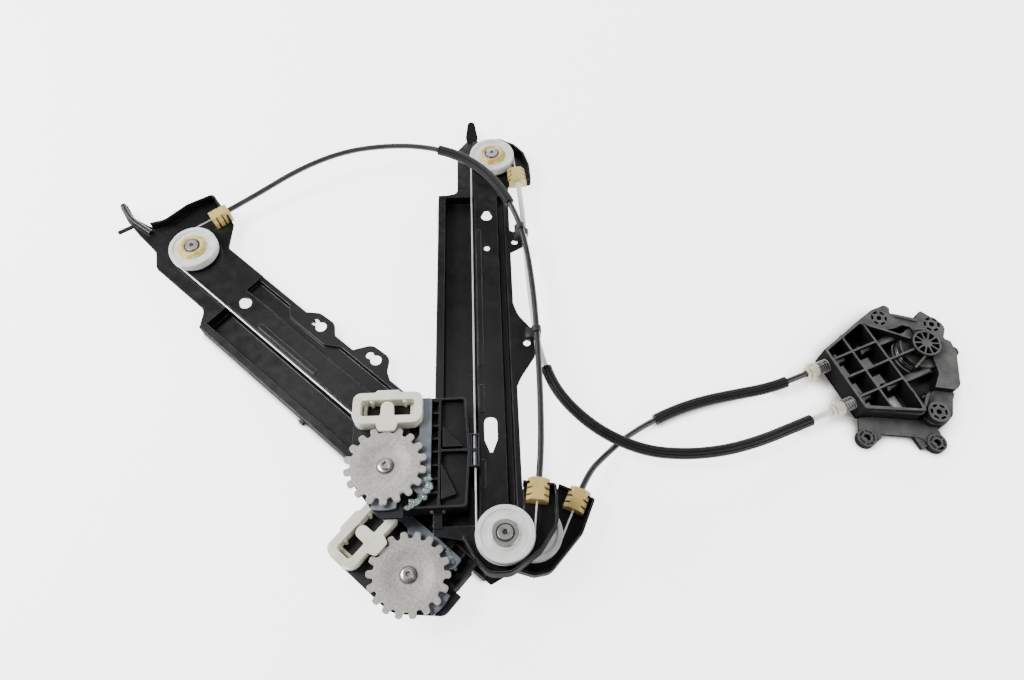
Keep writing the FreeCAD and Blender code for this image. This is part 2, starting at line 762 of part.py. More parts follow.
def guide_shoe():
    """Plastic shoe with a slot that wraps the hem of the lip."""
    gap = free_gap
    x0 = column_low + 1.0
    x1 = column_high - 1.0
    outer = block(x0, x1, shoe_right() + seat_gap, shoe_left() - seat_gap,
                  column_bottom, shoe_top() - seat_gap)
    wall_slot = block(x0 - 1, x1 + 1, -gap, sheet + gap, column_bottom - 1, hem_under + sheet + gap)
    hem_slot = block(x0 - 1, x1 + 1, -hem_reach - gap, sheet + gap, hem_under - gap,
                     hem_under + sheet + gap)
    return outer.cut([wall_slot, hem_slot])


def insert_plate():
    """Steel plate that the disc clamps against: a round pad, an arc-shaped lobe and a strip."""
    strip_left = insert_right + insert_strip
    plate = slab([(insert_low, insert_right, 2), (column_high - 1, insert_right, 2),
                  (column_high - 1, strip_left, 2), (insert_pad_radius, strip_left, 6),
                  (0, disc_offset, 0), (insert_low, strip_left, 2)], arm_top, insert_top)
    pad = rod(0, disc_offset, arm_top, insert_top, insert_pad_radius)
    sector = rod(0, disc_offset, arm_top, insert_top, disc_diameter / 2 + lobe_reach)
    lobe = sector.common(block(-disc_diameter, -10, disc_offset - lobe_half, disc_offset + lobe_half,
                               arm_top, insert_top))
    plate = fuse(plate, [pad, lobe])
    return plate.cut(rod(0, disc_offset, arm_top - 1, insert_top + 1, screw_diameter / 2 + seat_gap))


def tooth_outline():
    """Corners (x, y, radius) of the disc's edge: round-tipped teeth with round gaps."""
    rim = disc_diameter / 2
    root = rim - tooth_depth
    pitch = 2 * math.pi / tooth_count
    tip = tooth_tip_width / 2 / rim
    foot = pitch / 2 - tooth_gap_width / 2 / root
    corners = []
    for i in range(tooth_count):
        for radius, turn, rounding in ((root, -foot, tooth_root_radius), (rim, -tip, tooth_tip_radius),
                                       (rim, tip, tooth_tip_radius), (root, foot, tooth_root_radius)):
            angle = i * pitch + turn
            corners.append((radius * math.cos(angle), radius * math.sin(angle), rounding))
    return corners


def s_curve(r0, h0, r1, h1):
    """Two tangent arcs in the (radius, height) plane, level at both ends."""
    run = (r1 - r0) / 2
    rise = (h1 - h0) / 2
    radius = (run * run + rise * rise) / (2 * rise)
    half = math.asin(run / radius) / 2
    dx = radius * math.sin(half)
    dy = radius * (1 - math.cos(half))
    middle = Vector(r0 + run, 0, h0 + rise)
    return [Part.Arc(Vector(r0, 0, h0), Vector(r0 + dx, 0, h0 + dy), middle).toShape(),
            Part.Arc(middle, Vector(r1 - dx, 0, h1 - dy), Vector(r1, 0, h1)).toShape()]


def glass_disc():
    """Toothed disc with a softly dished middle, turning on the clamping screw."""
    low = disc_under
    top = disc_top
    t = disc_thickness
    bore = screw_diameter / 2 + running_gap
    flat = disc_dish_radius
    edge = disc_rim_radius
    rim = edge + 1.0
    teeth = slab(tooth_outline(), top - t, top).cut(rod(0, 0, low, top + 1, edge + 0.5))

    def line(r0, h0, r1, h1):
        return Part.LineSegment(Vector(r0, 0, h0), Vector(r1, 0, h1)).toShape()

    edges = ([line(bore, low, flat, low)] + s_curve(flat, low, edge, top - t)
             + [line(edge, top - t, rim, top - t), line(rim, top - t, rim, top), line(rim, top, edge, top)]
             + s_curve(flat, low + t, edge, top) + [line(flat, low + t, bore, low + t),
                                                    line(bore, low + t, bore, low)])
    face = Part.Face(Part.Wire(Part.__sortEdges__(edges)))
    disc = fuse(face.revolve(Vector(), Vector(0, 0, 1), 360), [teeth])
    disc.translate(Vector(0, disc_offset, 0))
    return disc


def disc_screw():
    """Clamping screw with a round collar head and a driving socket."""
    under = disc_under + disc_thickness + free_gap
    top = under + screw_head_height
    low = arm_top - arm_thickness - hub_depth
    radius = screw_diameter / 2
    head = screw_head_diameter / 2
    shape = turned([(0, low), (radius - 0.6, low), (radius, low + 0.6), (radius, under), (head, under),
                    (head, under + 1.2), (head - 1.6, under + 1.6), (head - 1.6, top - 0.5),
                    (head - 2.1, top), (0, top)])
    corners = []
    for i in range(7):
        turn = math.radians(60 * i)
        corners.append(Vector(screw_socket_radius * math.cos(turn), screw_socket_radius * math.sin(turn),
                              top - screw_socket_depth))
    socket = Part.Face(Part.makePolygon(corners)).extrude(Vector(0, 0, screw_socket_depth + 1))
    shape = shape.cut(socket)
    shape.translate(Vector(0, disc_offset, 0))
    return shape


def latch_clip():
    """Frame-shaped clip with a round-ended tongue and a nose over the disc's rim."""
    y0 = disc_offset - clip_length / 2
    y1 = disc_offset + clip_length / 2
    x0 = clip_low + 4.0
    x1 = clip_low + clip_depth
    low = arm_top
    body = slab([(x0, y0, 9), (x1, y0, 7), (x1, y1, 7), (x0, y1, 9)], low, clip_top)
    inner = slab([(x0 + clip_bar, y0 + clip_bar, 3), (x1 - clip_bar, y0 + clip_bar, 2),
                  (x1 - clip_bar, y1 - clip_bar, 2), (x0 + clip_bar, y1 - clip_bar, 3)], low - 1, clip_top + 1)
    body = body.cut(inner)
    half = tongue_width / 2
    tongue = slab([(x0 + 1, disc_offset - half - 3, 0), (x0 + clip_bar + 2, disc_offset - half, 3),
                   (x1 - clip_bar - 2, disc_offset - half, half), (x1 - clip_bar - 2, disc_offset + half, half),
                   (x0 + clip_bar + 2, disc_offset + half, 3), (x0 + 1, disc_offset + half + 3, 0)],
                  clip_top - tongue_thickness, clip_top)
    nose_end = disc_diameter / 2 - clip_nose_reach
    nose = slab([(nose_end, disc_offset - 7, 3), (x0 + 2, disc_offset - 10, 0),
                 (x0 + 2, disc_offset + 10, 0), (nose_end, disc_offset + 7, 3)],
                disc_top + free_gap, clip_top)
    back = slab([(x1 - 1, disc_offset - 12, 0), (x1 + 2.2, disc_offset - 9, 2), (x1 + 2.2, disc_offset + 9, 2),
                 (x1 - 1, disc_offset + 12, 0)], low, clip_top)
    pegs = []
    posts = []
    for side in (-1, 1):
        at = disc_offset + side * peg_spacing / 2
        pegs.append(rod(x1 - clip_bar, at, low, clip_top - 1.5, peg_radius))
        at += side * 6.0
        posts.append(block(x0 + clip_bar - 1, x1 - clip_bar + 1, at - 1.5, at + 1.5, low, low + 3))
    relief = rod(0, disc_offset, low - 1, disc_top + free_gap, disc_diameter / 2 + free_gap)
    step = block(0, column_high + free_gap, 0, insert_right + insert_strip + free_gap, low - 1, insert_top)
    return fuse(body, [tongue, nose, back] + pegs + posts).cut([relief, step])


def cable_nipples(lip):
    """Two crimped ferrules of the cable in the carrier's anchor pockets."""
    middle = (column_low + column_high) / 2
    at = wrap_radius - lip
    result = []
    for low, high in nipple_ends(middle):
        barrel = Part.makeCylinder(nipple_radius, high - low, Vector(low, at, 0), Vector(1, 0, 0))
        hole = Part.makeCylinder(wire_radius + free_gap, high - low, Vector(low, at, 0), Vector(1, 0, 0))
        result.append(barrel.cut(hole))
    return as_group(result)


# Drum housing; x from the port wall towards the drum's axis, y across

def port_offsets():
    return (port_spacing / 2, -port_spacing / 2)


def roof_outline():
    return [(port_wall, -port_half_span, 1), (-46, -56, 4), (-42, -56, 3), (-30, -46, 4), (-19.6, -37, 4),
            (0, -48.5, 4), (6, -46, 5), (24, -18, 6), (27, -5, 4), (22, -1, 3), (31, 8, 5), (31, 14, 4),
            (21, 33, 2.5), (16, 31.5, 1.5), (12, 27, 2), (-4.6, 40, 2), (-8, 42, 1.5), (-4.5, 47, 2),
            (-7, 52, 4), (-22.5, 52, 6), (-41, 47, 6), (port_wall, port_half_span, 1)]


def skirt_outline():
    """Low plateau that carries the third motor boss."""
    return [(-40, -58, 4), (-38, -66, 4), (-27, -71.5, 6), (-14.5, -67, 6), (-5, -55, 6), (3, -48, 4),
            (-10, -38, 2), (-30, -45, 2)]


def well_outline():
    """Open well between the ports and the spider; the drum's cable shows in it."""
    return [(-44, 42.5, 2), (-36.6, 38, 2), (-22.8, 28.6, 3), (-12.7, 26.6, 3), (-4.5, 26.7, 4), (1, 22, 4),
            (1, -12, 0), (-4.4, -28.5, 4), (-16.4, -38.8, 5), (-29.4, -41.9, 3), (-42, -54, 2)]


def housing_body():
    floor_top = floor_low + floor_thickness
    roof_low = drum_bottom + drum_height + free_gap
    roof_top = roof_low + roof_thickness
    chamber = drum_diameter / 2 + chamber_gap
    outer = slab(roof_outline(), 0, roof_top)
    port_block = slab([(port_wall, -port_half_span, 1), (-42, -56, 2), (-39, -30, 4), (-39, 30, 4),
                       (-41, 45, 2), (port_wall, port_half_span, 1)], 0, housing_height)
    body = outer.multiFuse([port_block, slab(skirt_outline(), 0, skirt_height)])
    near = port_wall + housing_wall
    side = port_half_span - housing_wall
    well = slab([(near, -side, 1), (-44, -53, 2), (-42, -30, 4), (-42, 30, 4), (-44, 42.5, 2), (near, side, 1)],
                floor_top, housing_height + 1)
    under = outline(roof_outline(), -1).makeOffset2D(-housing_wall).extrude(Vector(0, 0, floor_low + 1))
    body = body.cut([well, slab(well_outline(), floor_top, housing_height + 1), under])
    body = body.fuse(rod(0, 0, roof_low, roof_top, spider_radius))
    return body, floor_top, roof_low, roof_top, chamber


def housing_ribs(floor_top, chamber):
    """Ribs of the port end: two across, three along, with the two cable ducts."""
    half = housing_rib / 2
    low = floor_top - 1
    top = housing_height - rib_drop
    along = Vector(1, 0, 0)
    first, second = cross_ribs
    ribs = [block(first - half, first + half, -44, 39, low, top),
            block(second - half, second + half, -50, 44, low, top)]
    for y in (port_offsets()[0], 0.0, port_offsets()[1]):
        ribs.append(block(port_wall + 1, second, y - half, y + half, low, top))
    ribs.append(block(second, -spider_radius + 1, -half, half, port_height + 3, top))
    ribs.append(strip([(-41, 44), (-36, 37, 6), (-23, 25, 6), (-9, 11)], housing_rib, low, top))
    ribs.append(strip([(-8, -11), (-24, -17)], housing_rib, port_height, top))
    for y, duct_end in zip(port_offsets(), duct_ends):
        mouth = Vector(port_wall, y, port_height)
        start = Vector(duct_start, y, port_height)
        ribs.append(Part.makeCylinder(duct_radius, duct_end - duct_start, start, along))
        ribs.append(Part.makeCylinder(duct_radius + 1.2, 3.0, start, along))
        ribs.append(block(duct_start, -chamber + 2, y - duct_radius, y + duct_radius, low, port_height))
        ribs.append(Part.makeCylinder(port_ring_radius, port_ring_length, mouth, along))
        ribs.append(Part.makeCylinder(duct_radius, conduit_end - port_wall + 10, mouth, along))
    return ribs


def spoked_boss(x, y, low, high, radius, hub, spokes, wall=1.6):
    """Ring, hub and spokes of one height."""
    ring = rod(x, y, low, high, radius).cut(rod(x, y, low - 1, high + 1, radius - wall))
    parts = [rod(x, y, low, high, hub)]
    for i in range(spokes):
        spoke = block(0, radius - wall / 2, -wall / 2.4, wall / 2.4, low, high)
        spoke.Placement = Placement(Vector(x, y, 0), Rotation(Vector(0, 0, 1), i * 360.0 / spokes + 9))
        parts.append(spoke)
    return ring.multiFuse(parts)


def boss_slots(x, y, height):
    """Hole and six short slots in the top of a motor screw boss."""
    cuts = [rod(x, y, -1, height + 1, motor_screw_diameter / 2)]
    floor = height - boss_slot_depth
    ring = rod(x, y, floor, height + 1, boss_slot_outer).cut(rod(x, y, floor - 1, height + 2, boss_slot_inner))
    for i in range(6):
        bridge = block(boss_slot_inner - 1, boss_slot_outer + 1, -1.1, 1.1, floor - 1, height + 2)
        bridge.Placement = Placement(Vector(x, y, 0), Rotation(Vector(0, 0, 1), 60 * i))
        ring = ring.cut(bridge)
    return cuts + [ring]


def drum_housing():
    body, floor_top, roof_low, roof_top, chamber = housing_body()
    parts = housing_ribs(floor_top, chamber)
    shell_top = housing_height + 1.0
    parts.append(spoked_boss(0, 0, roof_top - 0.5, shell_top, spider_radius, spider_hub, spoke_count))
    for x, y, radius in motor_bosses:
        parts.append(rod(x, y, 0, roof_top - boss_step, radius))
    shelf = slab([(-91, -34, 2), (boss_left[0] - 8, boss_left[1], 6), (boss_left[0], boss_left[1] - 8, 6),
                      (-84, -54, 6), (-50, -72, 8), (boss_right[0] - 6, boss_right[1] - 6, 4),
                      (boss_right[0] + 7, boss_right[1] - 4, 4), (-30, -64, 4), (-44, -52, 2)],
                 shelf_low, shelf_top)
    parts.append(shelf)
    parts.append(slab([(-4.9, 39.2, 1), (-6.7, 37, 1), (9.8, 23.8, 1), (11.7, 26.2, 1)],
                      roof_low, roof_top + roof_bead))
    parts.append(rod(26, -14, 4, 14, 5.5))
    parts.append(block(-55, -49, -81, -68, 0, 5))
    parts.append(rod(-85, -56, 0, shelf_top, 3))
    arc = rod(0, 0, roof_low, roof_top + roof_bead, arc_rib_radius)
    arc = arc.cut(rod(0, 0, 0, housing_height, arc_rib_radius - 1.4))
    parts.append(arc.common(block(2, arc_rib_radius, -4, arc_rib_radius, 0, housing_height)))
    for x, y in (boss_left, boss_right):
        parts.append(rod(x, y, 0, shelf_low + 0.5, fixing_boss_radius))
    body = fuse(body, parts)
    cuts = [rod(0, 0, -1, roof_low, chamber)]
    for x, y, _ in motor_bosses:
        cuts += boss_slots(x, y, roof_top - boss_step)
    for y in port_offsets():
        along = Vector(1, 0, 0)
        cuts.append(Part.makeCylinder(spring_diameter / 2 + free_gap, spring_socket + 1,
                                      Vector(port_wall - 1, y, port_height), along))
        cuts.append(Part.makeCylinder(conduit_radius + seat_gap, conduit_end - port_wall,
                                      Vector(port_wall, y, port_height), along))
        cuts.append(Part.makeCylinder(wire_radius + duct_gap, -port_wall,
                                      Vector(port_wall, y, port_height), along))
    for x, y in (boss_left, boss_right):
        cuts.append(rod(x, y, -1, fixing_boss_height + 1, fixing_hole_diameter / 2))
    for x0, x1, y0, y1 in windows:
        cuts.append(block(x0, x1, y0, y1, -1, floor_top + 0.5))
    body = body.cut(cuts)
    bosses = [rod(0, 0, stub_bottom, roof_low + 0.5, drum_bore / 2)]
    for x, y in (boss_left, boss_right):
        ring = spoked_boss(x, y, shelf_low, fixing_boss_height, fixing_boss_radius, 5.0, 5)
        bosses.append(ring.cut(rod(x, y, -1, fixing_boss_height + 1, fixing_hole_diameter / 2)))
    return fuse(body, bosses)


def cable_drum():
    """Grooved drum with a bearing bore above and a splined drive socket below."""
    low = drum_bottom
    high = drum_bottom + drum_height
    rim = drum_diameter / 2
    root = drum_wrap - wire_radius - free_gap
    profile = [(drum_bore / 2 + running_gap, high), (drum_bore / 2 + running_gap, low + drum_drive_depth),
               (drum_drive_diameter / 2, low + drum_drive_depth), (drum_drive_diameter / 2, low), (rim, low)]
    for i in range(-2, 2):
        middle = port_height + i * drum_pitch
        profile += [(rim, middle - groove_mouth), (root, middle - groove_floor), (root, middle + groove_floor),
                    (rim, middle + groove_mouth)]
    profile.append((rim, high))
    drum = turned(profile)
    splines = []
    for i in range(drum_spline_count):
        tooth = block(drum_drive_diameter / 2 - 1.8, drum_drive_diameter / 2 + 1, -1.4, 1.4,
                      low, low + drum_drive_depth + 0.5)
        tooth.Placement = Placement(Vector(), Rotation(Vector(0, 0, 1), i * 360.0 / drum_spline_count))
        splines.append(tooth)
    return fuse(drum, splines)


def drum_cable():
    """Turns of the cable in the drum's lower grooves."""
    rings = []
    for i in (-2, -1):
        rings.append(Part.makeTorus(drum_wrap, wire_radius, Vector(0, 0, port_height + i * drum_pitch)))
    return as_group(rings)


def drum_retainer():
    """Spring washer pressed on the housing's stub, below the drum's web."""
    top = drum_bottom + drum_drive_depth - free_gap
    inner = drum_bore / 2
    washer = turned([(inner, top - 0.8), (7.2, top - 0.8), (7.2, top), (inner, top)])
    return washer


def lead_wires():
    """The two cable ends between the ports and the drum."""
    wires = []
    for y in port_offsets():
        start = Vector(conduit_end, y, port_height)
        wires.append(Part.makeCylinder(wire_radius, -start.x, start, Vector(1, 0, 0)))
    return as_group(wires)


def tension_spring(y):
    """Coil spring between the housing and a conduit cap."""
    radius = spring_diameter / 2 - spring_wire / 2
    low = port_wall - spring_length + seat_gap
    climb = spring_length + spring_socket - spring_wire - 2 * seat_gap
    helix = Part.makeHelix(climb / spring_turns, climb, radius)
    section = Part.Wire([Part.makeCircle(spring_wire / 2, Vector(radius, 0, 0), Vector(0, 1, 0))])
    coil = Part.Wire(helix.Edges).makePipeShell([section], True, True)
    coil.Placement = Placement(Vector(low + spring_wire / 2, y, port_height), Rotation(Vector(0, 1, 0), 90))
    return coil


def conduit_cap(y):
    """Notched plastic cap at the end of a conduit."""
    far = port_wall - spring_length
    radius = cap_diameter / 2
    bore = conduit_radius + 2 * seat_gap
    length = cap_length
    shape = turned([(bore, 0), (radius - 2, 0), (radius, 1.5), (radius, length - 2.5),
                    (radius - 1.6, length), (bore, length)])
    notches = []
    for i in range(8):
        notch = block(radius - 1.3, radius + 1, -1.3, 1.3, -1, length - 3.5)
        notch.Placement = Placement(Vector(), Rotation(Vector(0, 0, 1), 45 * i))
        notches.append(notch)
    shape = shape.cut(notches)
    shape.Placement = Placement(Vector(far - length, y, port_height), Rotation(Vector(0, 1, 0), 90))
    return shape


# Conduits: routes in the part's own axes

def stop_exit(rail, pulley_at, stop, upper, distance):
    """A point on a stop's axis, at a distance from its middle."""
    return rail.multVec(stop_frame(pulley_at, stop, upper).multVec(Vector(distance, 0, 0)))


def port_point(y, x):
    return housing_frame.multVec(Vector(x, y, port_height))


def upper_conduit_route():
    """Black conduit from the front rail's upper stop to the rear rail's lower stop."""
    free = [(-545, 292.5, 29), (-500, 311.5, 34), (-458, 317, 37), (-416.5, 315.5, 38.5), (-378, 304, 39),
            (-348, 282.5, 37.5), (-329.5, 257.5, 35.5), (-316, 229.5, 34), (-306.5, 195.5, 33),
            (-300, 144.5, 34.5), (-297, 94, 37), (-295.5, 47, 39.5), (-295, 7.5, 42)]
    return ([stop_exit(front_frame, front_span, front_up_stop, True, conduit_start),
             stop_exit(front_frame, front_span, front_up_stop, True, 34.0)]
            + [Vector(*p) for p in free]
            + [stop_exit(rear_frame, 0, rear_low_stop, False, 30.0),
               stop_exit(rear_frame, 0, rear_low_stop, False, conduit_start)])


def white_conduit_route():
    """White conduit from the rear rail's upper stop to the lower port."""
    free = [(-307.5, 213, 24), (-304.5, 163.5, 26.5), (-300.5, 113.5, 29), (-294.5, 76.5, 29.5),
            (-283.5, 42.5, 28.5), (-266, 19, 26.5), (-240, -3, 25), (-205, -18, 22), (-170, -20.8, 20),
            (-134, -16.5, 17), (-100, -6.5, 14.6), (-66.8, 7.4, 13.2)]
    y = port_offsets()[1]
    return ([stop_exit(rear_frame, rear_span, rear_up_stop, True, conduit_start),
             stop_exit(rear_frame, rear_span, rear_up_stop, True, 30.0)]
            + [Vector(*p) for p in free]
            + [port_point(y, port_approach), port_point(y, conduit_end)])


def lower_conduit_route():
    """Black conduit from the front rail's lower stop to the upper port."""
    free = [(-238, -19.5, 13.5), (-222, -4, 9.5), (-203, 9.5, 7.5), (-176, 24, 7), (-147, 34.5, 7.5),
            (-115, 41, 9), (-82.3, 46.3, 11.5)]
    y = port_offsets()[0]
    return ([stop_exit(front_frame, 0, front_low_stop, False, conduit_start),
             stop_exit(front_frame, 0, front_low_stop, False, 26.0)]
            + [Vector(*p) for p in free]
            + [port_point(y, port_approach), port_point(y, conduit_end)])


def conduit(name, points):
    path = route_wire(points)
    body = tube(path, conduit_radius)
    radii = [round(c[3]) for c in bend_edges(points)[2]]
    section = math.pi * conduit_radius ** 2
    print(name, "radii", radii, "volume", round(body.Volume), "section times length",
          round(section * path.Length))
    print(name, "points", [tuple(round(c, 1) for c in p) for p in points])
    return body


def crossing(path, u):
    """Where a cord passes through a plane across the rear rail, in the rail's own axes."""
    corners = [Vector(u, v, w) for v, w in ((-90, -60), (90, -60), (90, 60), (-90, 60))]
    plane = Part.Face(Part.makePolygon(corners + corners[:1]))
    plane.Placement = rear_frame
    return rear_frame.inverse().multVec(path.section(plane).Vertexes[0].Point)


def conduit_clip(paths, stud):
    """Clip that snaps round two conduits, with a foot and a stud in the rail's ear."""
    u, v = stud
    half = holder_length / 2
    top = flange_top
    spots = [crossing(path, u) for path in paths]
    holders = [Part.makeCylinder(conduit_radius + holder_wall, holder_length,
                                 Vector(u - half, p.y, p.z), Vector(1, 0, 0)) for p in spots]
    low = min(p.y for p in spots) - 1.0
    web = block(u - half, u + half, low, v + 4.0, top, max(p.z for p in spots))
    foot = block(u - clip_foot, u + clip_foot, v - clip_foot, v + clip_foot, top, top + 1.6)
    pin = rod(u, v, top - sheet - 1.5, top + 1, clip_stud_radius)
    head = rod(u, v, top - sheet - 1.5, top - sheet, clip_stud_radius + 0.9)
    body = fuse(holders[0], [holders[1], web, foot])
    body = body.cut(block(u - 10, u + 10, low - 10, v + 10, top - 10, top))
    body = fuse(body, [pin, head])
    cuts = [block(u - half - 5, u + half + 5, p.y - 12, p.y, p.z - holder_mouth / 2, p.z + holder_mouth / 2)
            for p in spots]
    return body.cut(cuts)


def sleeve(points, first_run, last_run):
    path = route_wire(points, first_run, last_run)
    return tube(path, sleeve_radius, conduit_radius + sleeve_wall_gap)


# Writing the parts

def save_rail(side, frame, shape, span, low_stop, up_stop):
    save(side + "_rail", shape, frame)
    ends = (("lower", 0, low_stop, False), ("upper", span, up_stop, True))
    for end, u, stop, upper in ends:
        at = frame.multiply(Placement(Vector(u, 0, 0), Rotation()))
        save(side + "_" + end + "_pulley", pulley(), at)
        save(side + "_" + end + "_washer", pulley_washer(), at)
        save(side + "_" + end + "_pin", pulley_pin(), at)
        save(side + "_" + end + "_stop", conduit_stop(), frame.multiply(stop_frame(u, stop, upper)))
    save(side + "_rail_wire", rail_wire(span, low_stop, up_stop), frame)


def save_carrier(side, frame, carrier_at, lip):
    at = frame.multiply(Placement(Vector(carrier_at, lip, 0), Rotation()))
    save(side + "_carrier", carrier(lip), at)
    save(side + "_guide_shoe", guide_shoe(), at)
    save(side + "_insert_plate", insert_plate(), at)
    save(side + "_toothed_disc", glass_disc(), at)
    save(side + "_disc_screw", disc_screw(), at)
    save(side + "_latch_clip", latch_clip(), at)
    save(side + "_cable_nipples", cable_nipples(lip), at)


save_rail("front", front_frame, front_rail(), front_span, front_low_stop, front_up_stop)
save_rail("rear", rear_frame, rear_rail(), rear_span, rear_low_stop, rear_up_stop)
save_carrier("front", front_frame, front_carrier_at, front_lip)
save_carrier("rear", rear_frame, rear_carrier_at, rear_lip)

save("drum_housing", drum_housing(), housing_frame)
save("cable_drum", cable_drum(), housing_frame)
save("drum_cable", drum_cable(), housing_frame)
save("drum_retainer", drum_retainer(), housing_frame)
save("housing_lead_wires", lead_wires(), housing_frame)
for label, offset in zip(("upper", "lower"), port_offsets()):
    save(label + "_tension_spring", tension_spring(offset), housing_frame)
    save(label + "_conduit_cap", conduit_cap(offset), housing_frame)

upper_route = upper_conduit_route()
white_route = white_conduit_route()
lower_route = lower_conduit_route()
save("upper_conduit", conduit("upper conduit", upper_route))
save("white_conduit", conduit("white conduit", white_route))
save("lower_conduit", conduit("lower conduit", lower_route))
for label, stud in zip(("upper", "lower"), clip_studs):
    paths = [route_wire(upper_route), route_wire(white_route)]
    clip = conduit_clip(paths, stud)
    held = [tube(path, conduit_radius + seat_gap) for path in paths]
    clip.Placement = rear_frame
    save(label + "_conduit_clip", clip.cut(held))
save("upper_sleeve", sleeve(upper_route, 5, 8))
save("white_sleeve", sleeve(white_route, 5, 13))
save("lower_sleeve", sleeve(lower_route, 4, 8))
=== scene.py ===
"""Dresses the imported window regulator: camera, studio, materials, cords and small pieces.

Lengths are in metres, unless a comment says millimetres.
"""
import json
import math

import bmesh
import bpy
from mathutils import Matrix, Vector, noise as rough_noise


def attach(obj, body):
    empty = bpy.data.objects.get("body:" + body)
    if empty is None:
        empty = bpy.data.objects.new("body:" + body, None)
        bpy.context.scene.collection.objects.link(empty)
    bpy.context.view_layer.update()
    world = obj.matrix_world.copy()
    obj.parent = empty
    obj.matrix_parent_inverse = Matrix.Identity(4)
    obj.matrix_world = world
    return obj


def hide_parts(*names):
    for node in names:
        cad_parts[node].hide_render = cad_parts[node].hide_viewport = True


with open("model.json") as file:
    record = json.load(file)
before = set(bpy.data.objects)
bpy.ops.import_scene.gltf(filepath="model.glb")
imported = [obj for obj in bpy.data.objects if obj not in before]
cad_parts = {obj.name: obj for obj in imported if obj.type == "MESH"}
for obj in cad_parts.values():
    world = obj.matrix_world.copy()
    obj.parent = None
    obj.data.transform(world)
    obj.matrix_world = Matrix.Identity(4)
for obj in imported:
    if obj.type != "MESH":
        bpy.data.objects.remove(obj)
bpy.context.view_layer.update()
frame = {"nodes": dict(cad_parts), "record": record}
scene = bpy.context.scene


# Places and sizes of the part, as in its CAD source

def placed(base, heading, drop):
    """Axes of a rail in the part's frame: its heading on the ground, and how far it slopes."""
    return (Matrix.Translation(base) @ Matrix.Rotation(math.radians(heading), 4, "Z")
            @ Matrix.Rotation(math.radians(drop), 4, "Y"))


FRONT = placed((-0.3017, -0.0890, 0.0200), 139.9, 0.0)
REAR = placed((-0.3252, -0.0976, 0.0500), 92.3, 4.56)
HOUSING_TURN = Matrix.Rotation(math.radians(23.1), 4, "Z")
HOUSING = Matrix.Translation(HOUSING_TURN @ Vector((0.0955, 0.0531, 0.0))) @ HOUSING_TURN
HOUSING_MIDDLE = (0.030, 0.055, 0.0)

PULLEY_PLACES = {"front_lower": (FRONT, 0.0), "front_upper": (FRONT, 0.443),
                 "rear_lower": (REAR, 0.0), "rear_upper": (REAR, 0.419)}
DISC_PLACES = {"front": (FRONT, (0.054, 0.092, 0.010)), "rear": (REAR, (0.058, 0.096, 0.010))}
CARRIER_PLACES = {"front": (FRONT, (0.054, 0.052, 0.0)), "rear": (REAR, (0.058, 0.056, 0.0))}

CONDUIT_RADIUS = 0.0028
SLEEVE_RADIUS = 0.0051
PORTS = {"upper": 0.0205, "lower": -0.0205}
PORT_WALL = -0.091
PORT_HEIGHT = 0.013
CAP_DISTANCE = 0.012
CLEARANCE = 0.0001


# Camera at the photograph's place

SENSOR_WIDTH = 36.0
LENS = 26.37
CAMERA_PLACE = (-0.320, -0.239714, 0.644552)
CAMERA_TILT = 28.0


def place_camera():
    data = bpy.data.cameras.new("camera")
    data.sensor_width = SENSOR_WIDTH
    data.lens = LENS
    data.clip_start = 0.01
    camera = bpy.data.objects.new("camera", data)
    scene.collection.objects.link(camera)
    camera.location = CAMERA_PLACE
    camera.rotation_euler = (math.radians(CAMERA_TILT), 0.0, 0.0)
    scene.camera = camera


# Nodes of the materials

def grey(level):
    return (level, level, level)


def principled(name):
    """A new material with its tree and its shader."""
    material = bpy.data.materials.new(name)
    material.use_nodes = True
    tree = material.node_tree
    return material, tree, tree.nodes["Principled BSDF"]


def noise(tree, scale, detail):
    """A noise value in the object's own space."""
    place = tree.nodes.new("ShaderNodeTexCoord")
    texture = tree.nodes.new("ShaderNodeTexNoise")
    texture.inputs["Scale"].default_value = scale
    texture.inputs["Detail"].default_value = detail
    texture.inputs["Roughness"].default_value = 0.55
    tree.links.new(place.outputs["Object"], texture.inputs["Vector"])
    return texture.outputs["Fac"]


def ramp(tree, value, stops):
    """Turns a value into a colour through (position, colour) stops."""
    node = tree.nodes.new("ShaderNodeValToRGB")
    elements = node.color_ramp.elements
    while len(elements) < len(stops):
        elements.new(0.5)
    for element, (position, colour) in zip(elements, stops):
        element.position = position
        element.color = (colour[0], colour[1], colour[2], 1.0)
    tree.links.new(value, node.inputs["Fac"])
    return node.outputs["Color"]


def map_range(tree, value, source, target):
    """Maps a value from one range to another and holds it at the ends."""
    node = tree.nodes.new("ShaderNodeMapRange")
    node.inputs["From Min"].default_value = source[0]
    node.inputs["From Max"].default_value = source[1]
    node.inputs["To Min"].default_value = target[0]
    node.inputs["To Max"].default_value = target[1]
    tree.links.new(value, node.inputs["Value"])
    return node.outputs["Result"]


def varied(tree, scale, limits):
    """A value that wanders between two limits, in patches of a noise."""
    middle_of_noise = (0.25, 0.75)
    return map_range(tree, noise(tree, scale, 3.0), middle_of_noise, limits)


def grain_bump(tree, shader, scale, strength):
    """Fine grain in the shader's normals."""
    node = tree.nodes.new("ShaderNodeBump")
    node.inputs["Strength"].default_value = strength
    node.inputs["Distance"].default_value = 0.0002
    tree.links.new(noise(tree, scale, 2.0), node.inputs["Height"])
    tree.links.new(node.outputs["Normal"], shader.inputs["Normal"])
    return node


def soft_normal(tree, radius):
    """The surface's direction with its edges rounded by a radius."""
    node = tree.nodes.new("ShaderNodeBevel")
    node.samples = 4
    node.inputs["Radius"].default_value = radius
    return node.outputs["Normal"]


